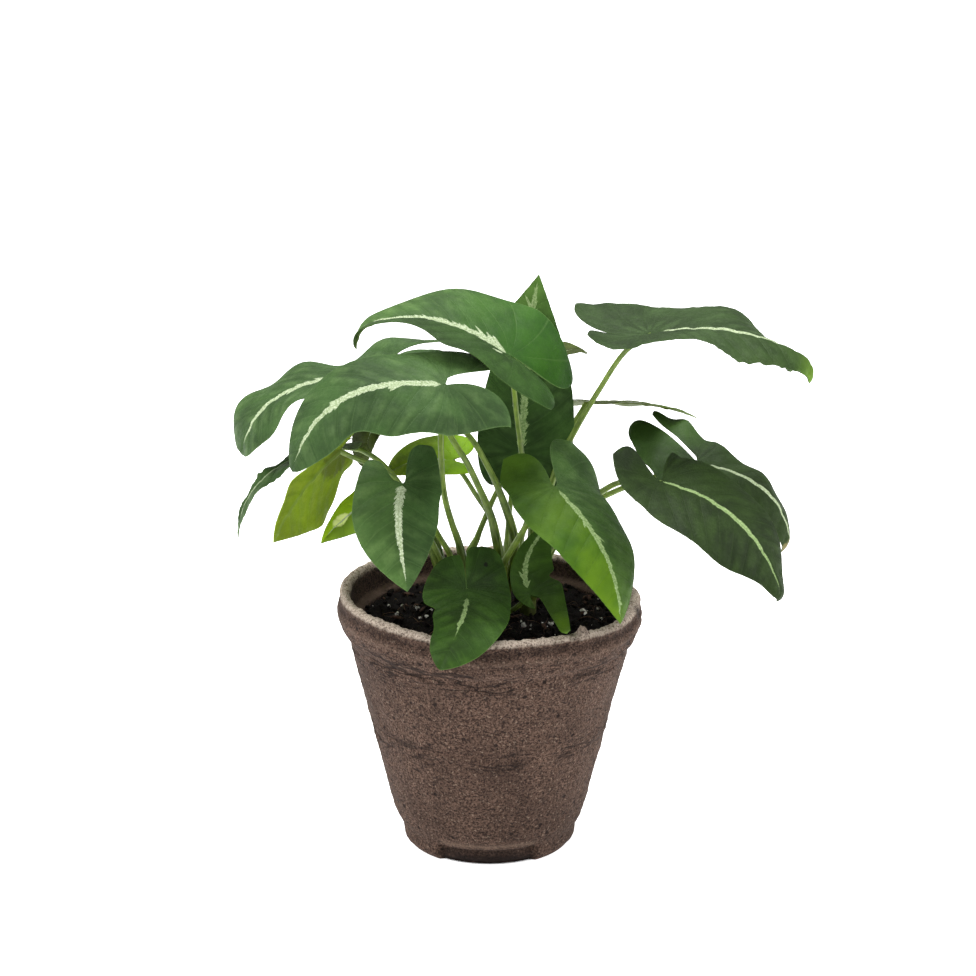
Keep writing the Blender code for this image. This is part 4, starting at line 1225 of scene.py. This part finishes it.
# Perlite grains that show at the front: (x, y, diameter) on the soil
PERLITE = (
    (-36.6, 11.5, 1.2), (-33.5, 1.9, 2.1), (-27.1, 10.1, 1.3), (-26.1, 6.3, 1.8), (-27.6, 8.0, 1.1),
    (-24.9, -2.3, 1.2), (-22.6, -0.8, 1.4), (-21.2, 4.6, 1.3), (11.4, -6.2, 1.1), (12.3, -9.9, 2.2),
    (14.5, -14.4, 1.1), (21.4, -6.8, 1.2), (22.3, -8.9, 1.9), (34.0, 5.2, 2.1), (34.8, 1.9, 1.7),
    (35.6, 4.0, 1.2), (39.6, 10.4, 1.3), (40.3, -1.6, 1.4),
)
PERLITE_EXTRA = 30
BARK_PIECES = 58
CLODS = 620
STRANDS = 90
STRAND_STEPS = 9
STRAND_CORNERS = (90, 210, 330)


class Grains:
    """Gathers uneven grains and strands in one mesh."""

    def __init__(self, detail):
        shape = bmesh.new()
        bmesh.ops.create_icosphere(shape, subdivisions=detail, radius=1.0)
        self.ball = np.array([v.co for v in shape.verts])
        self.ball_faces = [tuple(v.index for v in f.verts) for f in shape.faces]
        shape.free()
        self.points = []
        self.faces = []

    def lump(self, draw, centre, sizes, bumpy):
        """An uneven grain with the given half sizes, turned at random; a flat one lies flat."""
        corners = self.ball * (1 + bumpy * rough(self.ball, 0.75, draw.uniform(0, 90)))[:, None]
        turn = [draw.uniform(0, 2 * math.pi) for _ in range(3)]
        if max(sizes) > 2 * min(sizes):
            turn = (draw.uniform(-0.35, 0.35), draw.uniform(-0.35, 0.35), draw.uniform(0, 6.3))
        corners = corners * np.array(sizes) @ np.array(Euler(turn).to_matrix()).T + centre
        start = len(self.points)
        self.points += list(corners)
        self.faces += [tuple(i + start for i in f) for f in self.ball_faces]

    def strand(self, draw, place, length, radius):
        """A thin curved fibre that lies on the soil and starts at the place (x, y)."""
        heading = draw.uniform(0, 2 * math.pi)
        bend = draw.uniform(-0.12, 0.12)
        x, y = place
        start = len(self.points)
        for k in range(STRAND_STEPS):
            ahead = np.array((math.cos(heading), math.sin(heading), 0.0))
            aside = np.array((-ahead[1], ahead[0], 0.0))
            arch = 0.5 + 1.1 * math.sin(math.pi * k / (STRAND_STEPS - 1))
            middle = np.array((x, y, soil_height(x, y) + arch))
            for turn in STRAND_CORNERS:
                a = math.radians(turn)
                self.points.append(middle + radius * (aside * math.cos(a) + UP * math.sin(a)))
            x += ahead[0] * length / STRAND_STEPS
            y += ahead[1] * length / STRAND_STEPS
            heading += bend + draw.uniform(-0.25, 0.25)
        self.faces += tube_faces(start, STRAND_STEPS, len(STRAND_CORNERS))


def on_soil(draw, reach=0.97):
    """A random place on the soil and its height there."""
    radius = SOIL_EDGE * reach * math.sqrt(draw.random())
    turn = draw.uniform(0, 2 * math.pi)
    x = radius * math.cos(turn)
    y = radius * math.sin(turn)
    return x, y, soil_height(x, y)


def plain_material(name, first, second, scale, roughness, relief):
    """A mottled material in two colours."""
    g = Graph(name)
    mottle = g.noise(g.place(), scale, 3.0, 0.65)
    colour = g.between(g.step(mottle, 0.36, 0.64), first, second)
    g.set(Base_Color=colour, Roughness=roughness, Normal=g.bump(mottle, relief),
          Specular_IOR_Level=0.15)
    return g.material


def build_grains():
    """Perlite, bark, clods and fibres that lie on the soil."""
    draw = random.Random(11)
    perlite = Grains(2)
    for x, y, size in PERLITE:
        half = size / 2
        centre = (x, y, soil_height(x, y) + 0.55 * half)
        perlite.lump(draw, centre, (half, 0.75 * half, 0.6 * half), 0.9)
    for _ in range(PERLITE_EXTRA):
        x, y, z = on_soil(draw)
        half = draw.uniform(0.2, 0.6)
        perlite.lump(draw, (x, y, z + 0.3 * half), (half, 0.75 * half, 0.6 * half), 0.9)
    white = plain_material("perlite", (176, 172, 164), (232, 230, 224), 1500.0, 0.85, 0.25)
    add_piece("perlite", perlite.points, perlite.faces, white, 40)

    bark = Grains(2)
    for _ in range(BARK_PIECES):
        x, y, z = on_soil(draw)
        size = draw.uniform(0.9, 2.6)
        bark.lump(draw, (x, y, z + 0.4), (size, size * draw.uniform(0.3, 0.5), size * 0.3), 0.4)
    brown = plain_material("bark", (30, 19, 14), (74, 54, 42), 900.0, 0.85, 0.5)
    add_piece("bark", bark.points, bark.faces, brown, 35)

    clods = Grains(1)
    for _ in range(CLODS):
        x, y, z = on_soil(draw, 1.0)
        half = draw.uniform(0.4, 1.5) ** 1.2
        centre = (x, y, z + draw.uniform(-0.2, 0.5))
        clods.lump(draw, centre, (half, 0.8 * half, 0.65 * half), 0.6)
    black = plain_material("clods", (5, 4, 3), (26, 19, 15), 1100.0, 0.9, 0.6)
    add_piece("soil_clods", clods.points, clods.faces, black, 40)

    strands = Grains(1)
    for _ in range(STRANDS):
        place = on_soil(draw, 0.9)[:2]
        strands.strand(draw, place, draw.uniform(3.0, 11.0), draw.uniform(0.06, 0.16))
    tan = plain_material("soil fibres", (30, 20, 14), (86, 66, 50), 300.0, 0.8, 0.1)
    add_piece("soil_fibres", strands.points, strands.faces, tan, 180)


FLOOR_HALF = 6.0
FLOOR_GLOW = 0.75
WHITE = (1.0, 1.0, 1.0, 1.0)


def stage_floor():
    """A pale floor that glows a little and reaches past the picture's edges."""
    h = FLOOR_HALF
    mesh = bpy.data.meshes.new("floor")
    mesh.from_pydata([(-h, -h, 0), (h, -h, 0), (h, h, 0), (-h, h, 0)], [], [(0, 1, 2, 3)])
    g = Graph("pale floor")
    g.set(Base_Color=(0.92, 0.92, 0.92, 1.0), Roughness=0.9, Emission_Color=WHITE,
          Emission_Strength=FLOOR_GLOW)
    mesh.materials.append(g.material)
    add_object("floor", mesh)


CAMERA_TARGET = Vector((-0.0005, 0.0, 0.133))
CAMERA_DISTANCE = 0.993
CAMERA_ELEVATION = 16.74
CAMERA_LENS = 102.8


def add_camera():
    data = bpy.data.cameras.new("camera")
    data.lens = CAMERA_LENS
    camera = add_object("camera", data)
    e = math.radians(CAMERA_ELEVATION)
    back = Vector((0.0, -math.cos(e), math.sin(e)))
    camera.location = CAMERA_TARGET + back * CAMERA_DISTANCE
    camera.rotation_euler = (-back).to_track_quat("-Z", "Y").to_euler()
    bpy.context.scene.camera = camera


# Each light's name, place and size in metres, and power in watts
LIGHTS = (
    ("key", (-1.25, -0.35, 1.1), 0.9, 20.0),
    ("fill", (1.25, -0.15, 0.8), 1.1, 14.0),
    ("top", (0.0, 0.45, 1.6), 0.9, 27.0),
)
WORLD_STRENGTH = 0.52


def add_lights():
    for name, place, size, power in LIGHTS:
        data = bpy.data.lights.new(name, "AREA")
        data.size = size
        data.energy = power
        light = add_object(name, data)
        light.location = place
        aim = CAMERA_TARGET - light.location
        light.rotation_euler = aim.to_track_quat("-Z", "Y").to_euler()
    world = bpy.data.worlds.new("studio")
    world.use_nodes = True
    background = world.node_tree.nodes["Background"]
    background.inputs["Color"].default_value = WHITE
    background.inputs["Strength"].default_value = WORLD_STRENGTH
    bpy.context.scene.world = world
    bpy.context.scene.view_settings.view_transform = "Standard"


def main():
    add_camera()
    add_lights()
    stage_floor()
    build_pot(pot_material())
    build_soil(soil_material())
    build_grains()
    stalk = stalk_material()
    for name, shoot in SHOOTS.items():
        build_shoot(name, shoot, stalk)
    for seed, (name, leaf) in enumerate(LEAVES.items()):
        build_blade(name, leaf, seed)


main()
